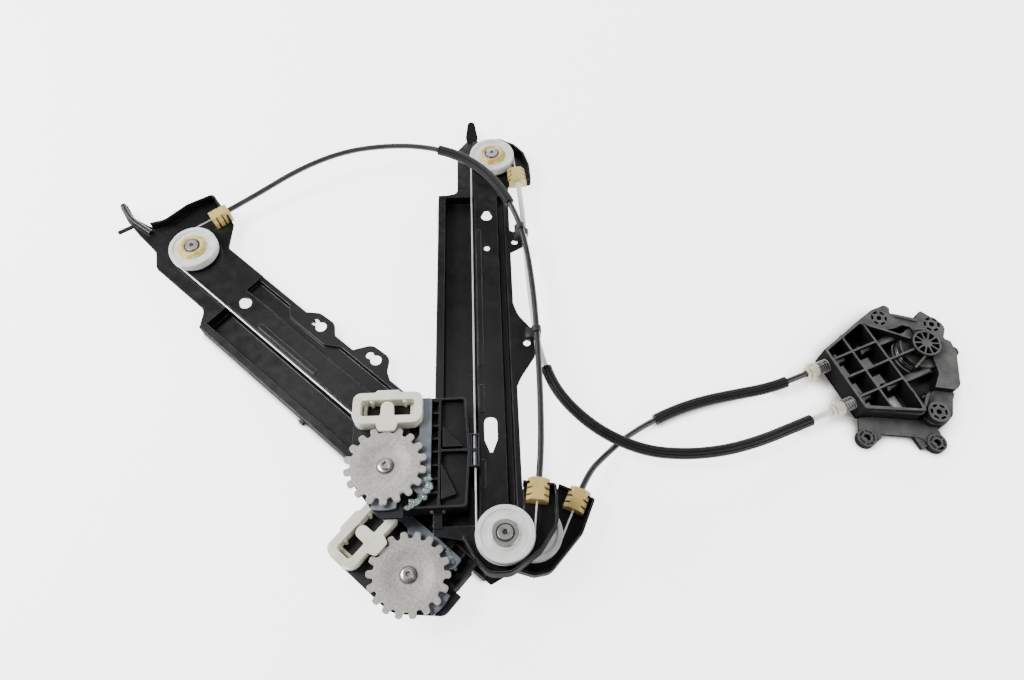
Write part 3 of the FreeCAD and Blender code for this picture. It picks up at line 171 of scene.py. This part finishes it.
def edge_mask(tree, soft, strength):
    """High where the rounded direction leaves the true one, near an edge."""
    true = tree.nodes.new("ShaderNodeNewGeometry")
    dot = tree.nodes.new("ShaderNodeVectorMath")
    dot.operation = "DOT_PRODUCT"
    tree.links.new(soft, dot.inputs[0])
    tree.links.new(true.outputs["Normal"], dot.inputs[1])
    flat_to_rounded = (0.995, 0.80)
    return map_range(tree, dot.outputs["Value"], flat_to_rounded, (0.0, strength))


def recess_shade_mask(tree, reach, strength):
    """High where nearby faces close a surface in, which places the painted shade in hollows."""
    node = tree.nodes.new("ShaderNodeAmbientOcclusion")
    node.samples = 6
    node.inputs["Distance"].default_value = reach
    open_to_closed = (0.9, 0.35)
    return map_range(tree, node.outputs["AO"], open_to_closed, (0.0, strength))


def blended(tree, factor, first, second):
    """Mixes a linked colour with a fixed one. The mix node's colour sockets have no own names."""
    node = tree.nodes.new("ShaderNodeMix")
    node.data_type = "RGBA"
    tree.links.new(factor, node.inputs[0])
    tree.links.new(first, node.inputs[6])
    node.inputs[7].default_value = (second[0], second[1], second[2], 1.0)
    return node.outputs[2]


def axis_distance(tree, centre, axis):
    """Distance from an axis, in the object's own space."""
    place = tree.nodes.new("ShaderNodeTexCoord")
    away = tree.nodes.new("ShaderNodeVectorMath")
    away.operation = "SUBTRACT"
    away.inputs[1].default_value = centre
    across = tree.nodes.new("ShaderNodeVectorMath")
    across.operation = "CROSS_PRODUCT"
    across.inputs[1].default_value = axis
    size = tree.nodes.new("ShaderNodeVectorMath")
    size.operation = "LENGTH"
    tree.links.new(place.outputs["Object"], away.inputs[0])
    tree.links.new(away.outputs["Vector"], across.inputs[0])
    tree.links.new(across.outputs["Vector"], size.inputs[0])
    return size.outputs["Value"]


def ring_shade_mask(tree, distance, inner, outer, fade, strength):
    """High between two radii, falling to nothing over a short fade on both sides; places a ring of
    painted shade.
    """
    largest = 0.04
    scale = tree.nodes.new("ShaderNodeMath")
    scale.operation = "MULTIPLY"
    scale.inputs[1].default_value = 1.0 / largest
    tree.links.new(distance, scale.inputs[0])
    levels = ((inner - fade, 0.0), (inner, strength), (outer, strength), (outer + fade, 0.0))
    return ramp(tree, scale.outputs["Value"],
                [(radius / largest, grey(level)) for radius, level in levels])


# Finishes

# Colours of painted shade: a dark ring round axles, dark edges on the plain steel, and shade in
# hollows
PAINTED_DARK_SHADE = (0.03, 0.03, 0.028)
PAINTED_RECESS_SHADE = grey(0.003)


def surface(name, dark, light, rough, metal=0.0, grain=900.0, grain_strength=0.15, patch=30.0,
            specular=0.5, coat=0.0, subsurface=0.0, edge=0.0004, painted_edge=None, ring=None, clear=0.0,
            recess_shade=None):
    """One finish: colour and roughness varied in patches, rounded edges, grain in the normals.

    painted_edge is the strength and colour of a painted highlight along edges, painted shade where
    that colour is dark;
    ring the centre, axis, radii, fade and strength of a ring of painted shade; and recess_shade
    the reach and strength of the painted shade in hollows.
    """
    material, tree, shader = principled(name)
    colour = ramp(tree, noise(tree, patch, 5.0), [(0.3, dark), (0.7, light)])
    soft = soft_normal(tree, edge) if edge else None
    # Painted highlight along the edges, painted shade where its colour is dark
    if painted_edge:
        strength, painted_edge_colour = painted_edge
        colour = blended(tree, edge_mask(tree, soft, strength), colour, painted_edge_colour)
    # A ring of painted shade round an axle
    if ring:
        centre, axis, inner, outer, fade, strength = ring
        mask = ring_shade_mask(tree, axis_distance(tree, centre, axis), inner, outer, fade, strength)
        colour = blended(tree, mask, colour, PAINTED_DARK_SHADE)
    # Painted shade in hollows
    if recess_shade:
        reach, strength = recess_shade
        colour = blended(tree, recess_shade_mask(tree, reach, strength), colour, PAINTED_RECESS_SHADE)
    tree.links.new(colour, shader.inputs["Base Color"])
    tree.links.new(varied(tree, patch * 4.0, rough), shader.inputs["Roughness"])
    shader.inputs["Metallic"].default_value = metal
    shader.inputs["Specular IOR Level"].default_value = specular
    if coat:
        shader.inputs["Coat Weight"].default_value = coat
        shader.inputs["Coat Roughness"].default_value = 0.25
    if subsurface:
        shader.inputs["Subsurface Weight"].default_value = subsurface
        shader.inputs["Subsurface Radius"].default_value = (0.004, 0.0038, 0.003)
        shader.inputs["Subsurface Scale"].default_value = 0.5
    if clear:
        shader.inputs["Transmission Weight"].default_value = clear
        shader.inputs["IOR"].default_value = 1.45
    relief = grain_bump(tree, shader, grain, grain_strength)
    if soft:
        tree.links.new(soft, relief.inputs["Normal"])
    return material


def floor_finish():
    """White floor with its own light, evenly bright in the open; painted shadow dims that light in
    the housing's cells and near all pieces, and turns its colour to a painted beige shade there.
    """
    glow, covered_glow = 3.0, 0.12
    housing_reach, other_reach = 0.019, 0.35 * 0.019
    housing_edge = (0.085, 0.11)
    covered_to_open = (0.5, 0.92)
    material, tree, shader = principled("floor_paint")
    node = tree.nodes.new("ShaderNodeAmbientOcclusion")
    node.samples = 12
    away = axis_distance(tree, HOUSING_MIDDLE, (0.0, 0.0, 1.0))
    reach = map_range(tree, away, housing_edge, (housing_reach, other_reach))
    tree.links.new(reach, node.inputs["Distance"])
    # Painted shadow: the floor's light dims where nearby pieces cover it
    light = map_range(tree, node.outputs["AO"], covered_to_open, (covered_glow, glow))
    # Painted shade: the colour turns beige where pieces cover the floor
    shade_tint = ramp(tree, node.outputs["AO"], [(0.45, (0.34, 0.30, 0.26)), (0.9, grey(0.87))])
    shader.inputs["Emission Color"].default_value = (1.0, 1.0, 1.0, 1.0)
    shader.inputs["Specular IOR Level"].default_value = 0.1
    tree.links.new(light, shader.inputs["Emission Strength"])
    tree.links.new(shade_tint, shader.inputs["Base Color"])
    tree.links.new(varied(tree, 8.0, (0.6, 0.7)), shader.inputs["Roughness"])
    grain_bump(tree, shader, 200.0, 0.02)
    return material


# The edge colours in these finishes paint highlights along edges, with painted shade on the plain
# steel; the hollow settings paint shade in recesses
FINISHES = {
    "rail_black": surface(
        "rail_coat", (0.005, 0.005, 0.0055), (0.010, 0.010, 0.011), (0.18, 0.28), grain=350.0,
        grain_strength=0.1, specular=0.45, edge=0.0012, painted_edge=(0.5, (0.12, 0.12, 0.126))),
    "cable_steel": surface(
        "cable", (0.5, 0.5, 0.51), grey(0.7), (0.3, 0.45), metal=0.85, grain=2500.0,
        grain_strength=0.4, edge=0.0),
    "carrier_black": surface(
        "carrier_plastic", (0.007, 0.007, 0.0075), (0.014, 0.014, 0.015), (0.34, 0.46),
        grain=1500.0, grain_strength=0.2, edge=0.0006, recess_shade=(0.014, 1.0), specular=0.25,
        painted_edge=(0.8, (0.16, 0.16, 0.162))),
    "shoe_white": surface("shoe_plastic", (0.6, 0.6, 0.57), (0.66, 0.66, 0.62), (0.35, 0.45)),
    "zinc_plate": surface(
        "zinc", (0.17, 0.19, 0.23), (0.28, 0.30, 0.34), (0.28, 0.42), metal=0.9, grain=700.0,
        grain_strength=0.1),
    "bright_steel": surface(
        "plain_steel", (0.40, 0.39, 0.37), (0.56, 0.55, 0.52), (0.2, 0.36), metal=0.85,
        grain_strength=0.1, painted_edge=(0.9, PAINTED_DARK_SHADE)),
    "clip_cream": surface(
        "clip_plastic", (0.62, 0.61, 0.50), (0.78, 0.77, 0.66), (0.2, 0.34), subsurface=0.2,
        grain=300.0, grain_strength=0.2, edge=0.0012, coat=0.3),
    "pulley_white": surface(
        "pulley_plastic", (0.56, 0.555, 0.54), (0.74, 0.735, 0.72), (0.24, 0.4), subsurface=0.15,
        grain=300.0, grain_strength=0.2, patch=110.0, edge=0.0007),
    "stop_ochre": surface(
        "stop_plastic", (0.42, 0.30, 0.085), (0.54, 0.41, 0.14), (0.3, 0.45), subsurface=0.1,
        grain=700.0, grain_strength=0.1, edge=0.0005, painted_edge=(0.25, (0.70, 0.58, 0.28))),
    "housing_grey": surface(
        "housing_plastic", grey(0.052), (0.105, 0.104, 0.101), (0.36, 0.55), grain=1100.0,
        grain_strength=0.4, patch=90.0, edge=0.0006, specular=0.25,
        painted_edge=(0.8, (0.26, 0.26, 0.25)), recess_shade=(0.012, 1.0)),
    "drum_beige": surface(
        "drum_plastic", (0.035, 0.034, 0.031), (0.07, 0.068, 0.062), (0.35, 0.5), edge=0.0005,
        painted_edge=(0.7, (0.25, 0.24, 0.21)), recess_shade=(0.006, 0.8)),
    "spring_steel": surface(
        "spring_wire", (0.11, 0.11, 0.105), (0.2, 0.2, 0.19), (0.3, 0.42), metal=0.7, edge=0.0),
    "cap_cream": surface(
        "cap_plastic", (0.46, 0.42, 0.29), (0.60, 0.56, 0.42), (0.35, 0.5), subsurface=0.1,
        recess_shade=(0.0025, 0.8)),
    "conduit_black": surface(
        "conduit_jacket", (0.012, 0.012, 0.013), (0.02, 0.02, 0.021), (0.26, 0.36), grain=500.0,
        grain_strength=0.05, edge=0.0),
    "conduit_white": surface(
        "conduit_clear", (0.66, 0.66, 0.64), (0.75, 0.75, 0.73), (0.25, 0.35), subsurface=0.2,
        grain=400.0, grain_strength=0.04, edge=0.0),
    "sleeve_black": surface(
        "sleeve_rubber", grey(0.006), grey(0.010), (0.4, 0.55), grain_strength=0.1,
        specular=0.25, edge=0.0),
    "conduit_clip_black": surface(
        "clip_black", (0.010, 0.010, 0.011), (0.016, 0.016, 0.017), (0.35, 0.45)),
}

# Grease has no slot of its own
YELLOW_GREASE = surface(
    "pulley_grease", (0.42, 0.27, 0.03), (0.68, 0.54, 0.18), (0.15, 0.3), subsurface=0.2,
    grain=260.0, grain_strength=0.5, patch=160.0, edge=0.0)
CLEAR_GREASE = surface(
    "rail_grease", (0.45, 0.62, 0.56), (0.80, 0.90, 0.87), (0.04, 0.12), grain=350.0,
    grain_strength=0.7, patch=300.0, edge=0.0, clear=0.75)

# Steep faces of these slots get shaded copies of their finish: a darker colour as painted shade,
# with almost no reflection
STEEP = 0.6
SHADED_WALL_FINISHES = {
    "rail_black": surface(
        "rail_wall_shade", grey(0.004), grey(0.008), (0.45, 0.6), grain=350.0, grain_strength=0.1,
        specular=0.02, edge=0.0010),
    "carrier_black": surface(
        "carrier_wall_shade", grey(0.004), grey(0.009), (0.6, 0.75), grain_strength=0.1,
        specular=0.02, edge=0.0005, painted_edge=(0.6, grey(0.10))),
    "housing_grey": surface(
        "housing_wall_shade", grey(0.005), grey(0.012), (0.6, 0.75), grain_strength=0.1,
        specular=0.02, edge=0.0005, painted_edge=(0.6, grey(0.12))),
}


def ring_at(matrix, place, inner, outer, fade, strength):
    """Settings of a ring of painted shade round an axle that stands on a rail."""
    upward = (matrix.to_3x3() @ Vector((0.0, 0.0, 1.0))).normalized()
    return tuple(matrix @ Vector(place)), tuple(upward), inner, outer, fade, strength


def own_finishes():
    """Finishes of the washers, pins and discs, each with a ring of painted shade round its own
    axle.
    """
    finishes = {}
    for place, (matrix, along) in PULLEY_PLACES.items():
        for piece, inner, outer in (("washer", 0.0062, 0.0074), ("pin", 0.0006, 0.0021)):
            node_name = place + "_" + piece
            finishes[node_name] = surface(
                node_name + "_steel", (0.42, 0.41, 0.39), (0.60, 0.59, 0.56), (0.22, 0.36),
                metal=0.85, grain_strength=0.1,
                ring=ring_at(matrix, (along, 0.0, 0.0), inner, outer, 0.0005, 0.9))
    for side, (matrix, place) in DISC_PLACES.items():
        finishes[side + "_toothed_disc"] = surface(
            side + "_disc_plastic", (0.24, 0.232, 0.207), (0.43, 0.415, 0.375), (0.34, 0.5),
            grain=500.0, grain_strength=0.9, patch=520.0, edge=0.0009, subsurface=0.05,
            ring=ring_at(matrix, place, 0.0061, 0.0069, 0.0009, 0.85))
    return finishes


def dress_nodes():
    """Gives each CAD node its finish, and steep faces of some slots a shaded copy with painted
    shade.
    """
    slots = {part["node"]: part["material_slot"] for part in frame["record"]["subparts"]}
    own = own_finishes()
    for name, node in frame["nodes"].items():
        wall = SHADED_WALL_FINISHES.get(slots[name])
        node.data.materials.clear()
        node.data.materials.append(own[name] if name in own else FINISHES[slots[name]])
        if wall:
            node.data.materials.append(wall)
        # Faces steeper than STEEP take the copy with painted shade
        for polygon in node.data.polygons:
            polygon.material_index = 1 if wall and polygon.normal.z < STEEP else 0


# Studio

WHITE = grey(1.0)
COOL_WHITE = (0.93, 0.96, 1.0)
LIGHT_TARGET = (-0.3, 0.1, 0.0)
LIGHTS = (
    # name, place, size, watts, colour
    ("key", (-1.3, 0.2, 1.2), (0.6, 0.6), 29.0, WHITE),
    ("fill", (1.0, -0.5, 1.0), (0.9, 0.9), 16.0, WHITE),
    ("back", (-0.3, 1.5, 0.5), (1.6, 0.4), 16.0, WHITE),
    ("strip_left", (-1.4, 0.1, 0.45), (1.6, 0.12), 11.0, COOL_WHITE),
    ("strip_right", (0.8, 0.3, 0.5), (1.2, 0.12), 4.0, WHITE),
    ("sheen", (-0.8, 1.3, 2.2), (0.9, 0.5), 1.5, WHITE),
)
SKY = ((0.0, 1.0), (0.3, 0.9), (0.6, 0.3), (1.0, 0.38))
SKY_STRENGTH = 0.4
FLOOR_REACH = 20.0


def area_light(name, place, size, power, colour):
    data = bpy.data.lights.new(name, "AREA")
    data.shape = "RECTANGLE"
    data.size = size[0]
    data.size_y = size[1]
    data.energy = power
    data.color = colour
    lamp = bpy.data.objects.new(name, data)
    lamp.location = place
    aim = Vector(LIGHT_TARGET) - Vector(place)
    lamp.rotation_euler = aim.to_track_quat("-Z", "Y").to_euler()
    scene.collection.objects.link(lamp)


def studio():
    """A sky that is bright low down, the lights and the floor."""
    world = bpy.data.worlds.new("studio")
    world.use_nodes = True
    tree = world.node_tree
    background = tree.nodes["Background"]
    place = tree.nodes.new("ShaderNodeTexCoord")
    parts = tree.nodes.new("ShaderNodeSeparateXYZ")
    tree.links.new(place.outputs["Generated"], parts.inputs["Vector"])
    sky = ramp(tree, parts.outputs["Z"], [(height, grey(level)) for height, level in SKY])
    tree.links.new(sky, background.inputs["Color"])
    background.inputs["Strength"].default_value = SKY_STRENGTH
    scene.world = world
    for light in LIGHTS:
        area_light(*light)
    far = FLOOR_REACH
    mesh = bpy.data.meshes.new("floor")
    mesh.from_pydata([(-far, -far, 0), (far, -far, 0), (far, far, 0), (-far, far, 0)],
                     [], [(0, 1, 2, 3)])
    floor = bpy.data.objects.new("floor", mesh)
    scene.collection.objects.link(floor)
    floor.data.materials.append(floor_finish())


# Meshes

def mesh_object(name, bm, material, smooth=True):
    mesh = bpy.data.meshes.new(name)
    bmesh.ops.recalc_face_normals(bm, faces=bm.faces)
    bm.to_mesh(mesh)
    bm.free()
    for polygon in mesh.polygons:
        polygon.use_smooth = smooth
    mesh.materials.append(material)
    made = bpy.data.objects.new(name, mesh)
    scene.collection.objects.link(made)
    return made


def cross_sections(line, side):
    """Each point of a line with two directions across it, carried along without a twist."""
    for i, place in enumerate(line):
        along = (line[min(i + 1, len(line) - 1)] - line[max(i - 1, 0)]).normalized()
        side = (side - along * side.dot(along)).normalized()
        yield place, side, along.cross(side)


def join_rings(bm, rings, closed=False):
    """Faces between each ring of vertices and the next one, round to the first if closed."""
    for a, b in zip(rings, rings[1:] + rings[:1] if closed else rings[1:]):
        for k in range(len(a)):
            following = (k + 1) % len(a)
            bm.faces.new((a[k], a[following], b[following], b[k]))


# Cords. The conduits' routes are the part's own: control points in millimetres

UPPER_ROUTE = (
    (-620.9, 239.9, 20.0), (-595.0, 259.5, 20.0), (-545.0, 292.5, 29.0), (-500.0, 311.5, 34.0),
    (-458.0, 317.0, 37.0), (-416.5, 315.5, 38.5), (-378.0, 304.0, 39.0), (-348.0, 282.5, 37.5),
    (-329.5, 257.5, 35.5), (-316.0, 229.5, 34.0), (-306.5, 195.5, 33.0), (-300.0, 144.5, 34.5),
    (-297.0, 94.0, 37.0), (-295.5, 47.0, 39.5), (-295.0, 7.5, 42.0), (-295.7, -30.9, 44.8),
    (-298.5, -59.1, 47.0))
WHITE_ROUTE = (
    (-314.8, 288.9, 19.2), (-310.9, 260.8, 21.5), (-307.5, 213.0, 24.0), (-304.5, 163.5, 26.5),
    (-300.5, 113.5, 29.0), (-294.5, 76.5, 29.5), (-283.5, 42.5, 28.5), (-266.0, 19.0, 26.5),
    (-240.0, -3.0, 25.0), (-205.0, -18.0, 22.0), (-170.0, -20.8, 20.0), (-134.0, -16.5, 17.0),
    (-100.0, -6.5, 14.6), (-66.8, 7.4, 13.2), (-33.5, 21.2, 13.0), (-2.7, 34.3, 13.0))
LOWER_ROUTE = (
    (-264.3, -59.8, 20.0), (-254.6, -37.3, 20.0), (-238.0, -19.5, 13.5), (-222.0, -4.0, 9.5),
    (-203.0, 9.5, 7.5), (-176.0, 24.0, 7.0), (-147.0, 34.5, 7.5), (-115.0, 41.0, 9.0),
    (-82.3, 46.3, 11.5), (-49.6, 58.9, 13.0), (-18.8, 72.0, 13.0))
CORDS = (
    # conduit and its slot, route, sleeve, and the runs of the route where the sleeve ends
    ("upper_conduit", "conduit_black", UPPER_ROUTE, "upper_sleeve", (5, 8)),
    ("white_conduit", "conduit_white", WHITE_ROUTE, "white_sleeve", (5, 13)),
    ("lower_conduit", "conduit_black", LOWER_ROUTE, "lower_sleeve", (4, 8)),
)


def metres(route):
    return [Vector(p) / 1000.0 for p in route]


def spline_curve(name, points, radius):
    data = bpy.data.curves.new(name, "CURVE")
    data.dimensions = "3D"
    spline = data.splines.new("NURBS")
    spline.points.add(len(points) - 1)
    for control, point in zip(spline.points, points):
        control.co = (point[0], point[1], point[2], 1.0)
    spline.order_u = 3
    spline.use_endpoint_u = True
    spline.resolution_u = 12
    data.bevel_depth = radius
    data.bevel_resolution = 6
    data.use_fill_caps = True
    curve = bpy.data.objects.new(name, data)
    scene.collection.objects.link(curve)
    return curve


def centreline(points):
    """Points along the route's own smooth line."""
    curve = spline_curve("line", points, 0.0)
    bpy.context.view_layer.update()
    drawn = curve.evaluated_get(bpy.context.evaluated_depsgraph_get())
    mesh = bpy.data.meshes.new_from_object(drawn)
    line = [vertex.co.copy() for vertex in mesh.vertices]
    bpy.data.objects.remove(curve)
    bpy.data.meshes.remove(mesh)
    return line


def line_length(line):
    return sum((b - a).length for a, b in zip(line, line[1:]))


def conduit(node, slot, points):
    curve = spline_curve(node + "_line", points, CONDUIT_RADIUS)
    curve.data.materials.append(FINISHES[slot])
    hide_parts(node)
    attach(curve, "frame")
    return curve


def grooved_sleeve(node, points, first_run, last_run):
    """A rubber sleeve with lengthwise grooves on a conduit, between the middles of two runs."""
    ridges, steps_per_ridge, groove_depth = 12, 4, 0.0007
    around = ridges * steps_per_ridge
    start, end = ((points[run] + points[run + 1]) / 2 for run in (first_run, last_run))
    line = centreline([start] + points[first_run + 1:last_run + 1] + [end])
    bm = bmesh.new()
    rings = []
    for place, side, other in cross_sections(line, Vector((0, 0, 1))):
        ring = []
        for step in range(around):
            turn = 2 * math.pi * step / around
            radius = SLEEVE_RADIUS - (groove_depth if step % steps_per_ridge == 0 else 0.0)
            ring.append(bm.verts.new(place + side * math.cos(turn) * radius
                                     + other * math.sin(turn) * radius))
        rings.append(ring)
    join_rings(bm, rings)
    for ring, place in ((rings[0], line[0]), (rings[-1], line[-1])):
        bore = CONDUIT_RADIUS + CLEARANCE
        small = [bm.verts.new(place + (v.co - place).normalized() * bore) for v in ring]
        join_rings(bm, [ring, small])
    made = mesh_object(node + "_ridged", bm, FINISHES["sleeve_black"], smooth=False)
    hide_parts(node)
    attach(made, "frame")
    return made


def make_cords():
    for node, slot, route, sleeve_node, runs in CORDS:
        points = metres(route)
        curve = conduit(node, slot, points)
        sleeve = grooved_sleeve(sleeve_node, points, runs[0], runs[1])
        line_length(centreline(points))


# Springs and caps at the housing's ports

SPRING_TURNS = 6.5
FLAT_TURNS = 0.8
SPRING_STEPS = 260
SPRING_RADIUS = 0.0058
SPRING_WIRE_RADIUS = 0.00048

CAP_LENGTH = 0.011
CAP_FLATS = 8
STEPS_PER_FLAT = 8
COLLAR_RADIUS = 0.0075
# radius, distance along the conduit
CAP_PROFILE = (
    (0.0031, 0.0), (0.0052, 0.0), (0.0060, 0.0006), (0.0060, 0.0030), (0.0080, 0.0036),
    (0.0084, 0.0042), (0.0084, 0.0078), (0.0080, 0.0084), (0.0066, 0.0088), (0.0062, 0.0110),
    (0.0045, 0.0110), (0.0040, 0.0104), (0.0031, 0.0104))


def at_port(along, y, radius, turn):
    """A point at a radius and an angle round a port's axis."""
    return HOUSING @ Vector((along, y + radius * math.cos(turn),
                             PORT_HEIGHT + radius * math.sin(turn)))


def swept(name, line, radius, material, sides=10):
    """A closed round wire along a line of points."""
    bm = bmesh.new()
    rings = []
    for place, side, other in cross_sections(line, Vector((0.3, 0.2, 1.0))):
        turns = [2 * math.pi * k / sides for k in range(sides)]
        rings.append([bm.verts.new(place + (side * math.cos(turn) + other * math.sin(turn))
                                   * radius) for turn in turns])
    join_rings(bm, rings)
    bm.faces.new(rings[0])
    bm.faces.new(rings[-1])
    return mesh_object(name, bm, material)


def port_spring(name, y):
    """Open spring between the cap and the housing's wall, with flat end turns."""
    wire = SPRING_WIRE_RADIUS
    low = PORT_WALL - CAP_DISTANCE + CLEARANCE + wire
    high = PORT_WALL - CLEARANCE - wire
    line = []
    for i in range(SPRING_STEPS + 1):
        turned = SPRING_TURNS * i / SPRING_STEPS
        climb = min(max((turned - FLAT_TURNS) / (SPRING_TURNS - 2 * FLAT_TURNS), 0.0), 1.0)
        line.append(at_port(low + (high - low) * climb, y, SPRING_RADIUS, 2 * math.pi * turned))
    made = swept(name + "_spring_coil", line, wire, FINISHES["spring_steel"])
    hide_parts(name + "_tension_spring")
    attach(made, "frame")


def port_cap(name, y):
    """Cap with a stepped collar, which has eight flats, and a bore for the conduit."""
    far = PORT_WALL - CAP_DISTANCE - CAP_LENGTH
    around = CAP_FLATS * STEPS_PER_FLAT
    bm = bmesh.new()
    rings = []
    for radius, along in CAP_PROFILE:
        ring = []
        for k in range(around):
            on_flat = 0.3 < (k % STEPS_PER_FLAT) / STEPS_PER_FLAT < 0.7
            cut = 0.91 if radius > COLLAR_RADIUS and on_flat else 1.0
            turn = 2 * math.pi * k / around
            ring.append(bm.verts.new(at_port(far + along, y, radius * cut, turn)))
        rings.append(ring)
    join_rings(bm, rings, closed=True)
    made = mesh_object(name + "_cap_notched", bm, FINISHES["cap_cream"], smooth=False)
    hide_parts(name + "_conduit_cap")
    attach(made, "frame")


# Grease, in millimetres in its rail's axes

RINGS = (("front_upper", 1.7), ("rear_upper", 7.3))
# radius, height
RING_SECTION = ((8.3, 5.7), (8.7, 6.3), (9.8, 6.7), (11.0, 6.6), (12.0, 6.1), (12.9, 5.0),
                (13.7, 4.1), (14.6, 3.5), (15.2, 3.1), (10.0, 3.0))
# x, y, height of the surface under the lump, radius
REAR_DABS = (
    (-12.0, 5.0, 7.0, 2.6), (-15.5, 6.5, 7.0, 1.8), (-18.5, 4.6, 7.0, 3.2), (-22.0, 7.0, 7.0, 2.4),
    (-26.0, 9.0, 4.0, 3.0), (-28.5, 12.5, 4.0, 2.2), (-30.5, 15.0, 4.0, 3.0),
    (-33.0, 18.5, 4.0, 2.5), (-34.5, 22.0, 4.0, 2.2), (-24.5, 12.5, 4.0, 1.9),
    (-29.0, 18.5, 4.0, 2.0), (-9.0, 4.5, 7.0, 1.5))
FRONT_DABS = (
    (-8.0, 5.2, 7.0, 1.6), (-11.5, 6.3, 7.0, 2.4), (-15.6, 7.4, 7.0, 2.0), (-18.4, 9.6, 7.0, 2.4),
    (-24.0, 12.0, 4.0, 1.7))


def grease_ring(name, matrix, body, seed):
    """Smeared grease round a pulley's hub, over the edge of the washer."""
    around = 96
    wide_drift, fine_drift, fine_lift = 1.6, 0.5, 0.25
    last = len(RING_SECTION) - 1
    bm = bmesh.new()
    rings = []
    for k in range(around):
        turn = 2 * math.pi * k / around
        x, y = math.cos(turn), math.sin(turn)
        drift = rough_noise.noise(Vector((x * 1.3, y * 1.3, seed)))
        fine = rough_noise.noise(Vector((x * 5.0, y * 5.0, seed + 4.0)))
        ring = []
        for i, (radius, height) in enumerate(RING_SECTION):
            outward = i / len(RING_SECTION)
            spread = radius + (drift * wide_drift + fine * fine_drift) * outward
            lift = height + (fine * fine_lift if 0 < i < last else 0.0)
            ring.append(bm.verts.new(matrix @ (Vector((spread * x, spread * y, lift)) / 1000.0)))
        rings.append(ring)
    join_rings(bm, rings, closed=True)
    made = mesh_object(name, bm, YELLOW_GREASE)
    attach(made, body)


def grease_dabs(name, matrix, spots, body, seed):
    """Lumps of clear grease, flattened and partly sunk into the surface under them."""
    flattened, sunk = 0.7, 0.3
    bm = bmesh.new()
    for i, (x, y, z, radius) in enumerate(spots):
        lump = bmesh.ops.create_icosphere(bm, subdivisions=3, radius=radius)["verts"]
        for vertex in lump:
            coarse_place = vertex.co * (0.9 / radius) + Vector((seed, i * 3.1, 0.0))
            fine_place = vertex.co * (3.0 / radius) + Vector((i * 1.7, seed, 0.0))
            drift = rough_noise.noise(coarse_place)
            fine = rough_noise.noise(fine_place)
            vertex.co *= 1.0 + 0.5 * drift + 0.2 * fine
            rise = max(vertex.co.z * flattened, -sunk * radius) + z + sunk * radius
            vertex.co = matrix @ (Vector((vertex.co.x + x, vertex.co.y + y, rise)) / 1000.0)
    made = mesh_object(name, bm, CLEAR_GREASE)
    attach(made, body)


def make_grease():
    for place, seed in RINGS:
        matrix, along = PULLEY_PLACES[place]
        hub = matrix @ Matrix.Translation((along, 0.0, 0.0))
        grease_ring(place + "_grease", hub, place + "_pulley_body", seed)
    for side, spots, seed in (("rear", REAR_DABS, 2.2), ("front", FRONT_DABS, 5.9)):
        matrix, place = CARRIER_PLACES[side]
        grease_dabs(side + "_carrier_grease", matrix @ Matrix.Translation(place), spots,
                    side + "_carriage", seed)


place_camera()
studio()
make_cords()
dress_nodes()
for port, offset in PORTS.items():
    port_spring(port, offset)
    port_cap(port, offset)
make_grease()
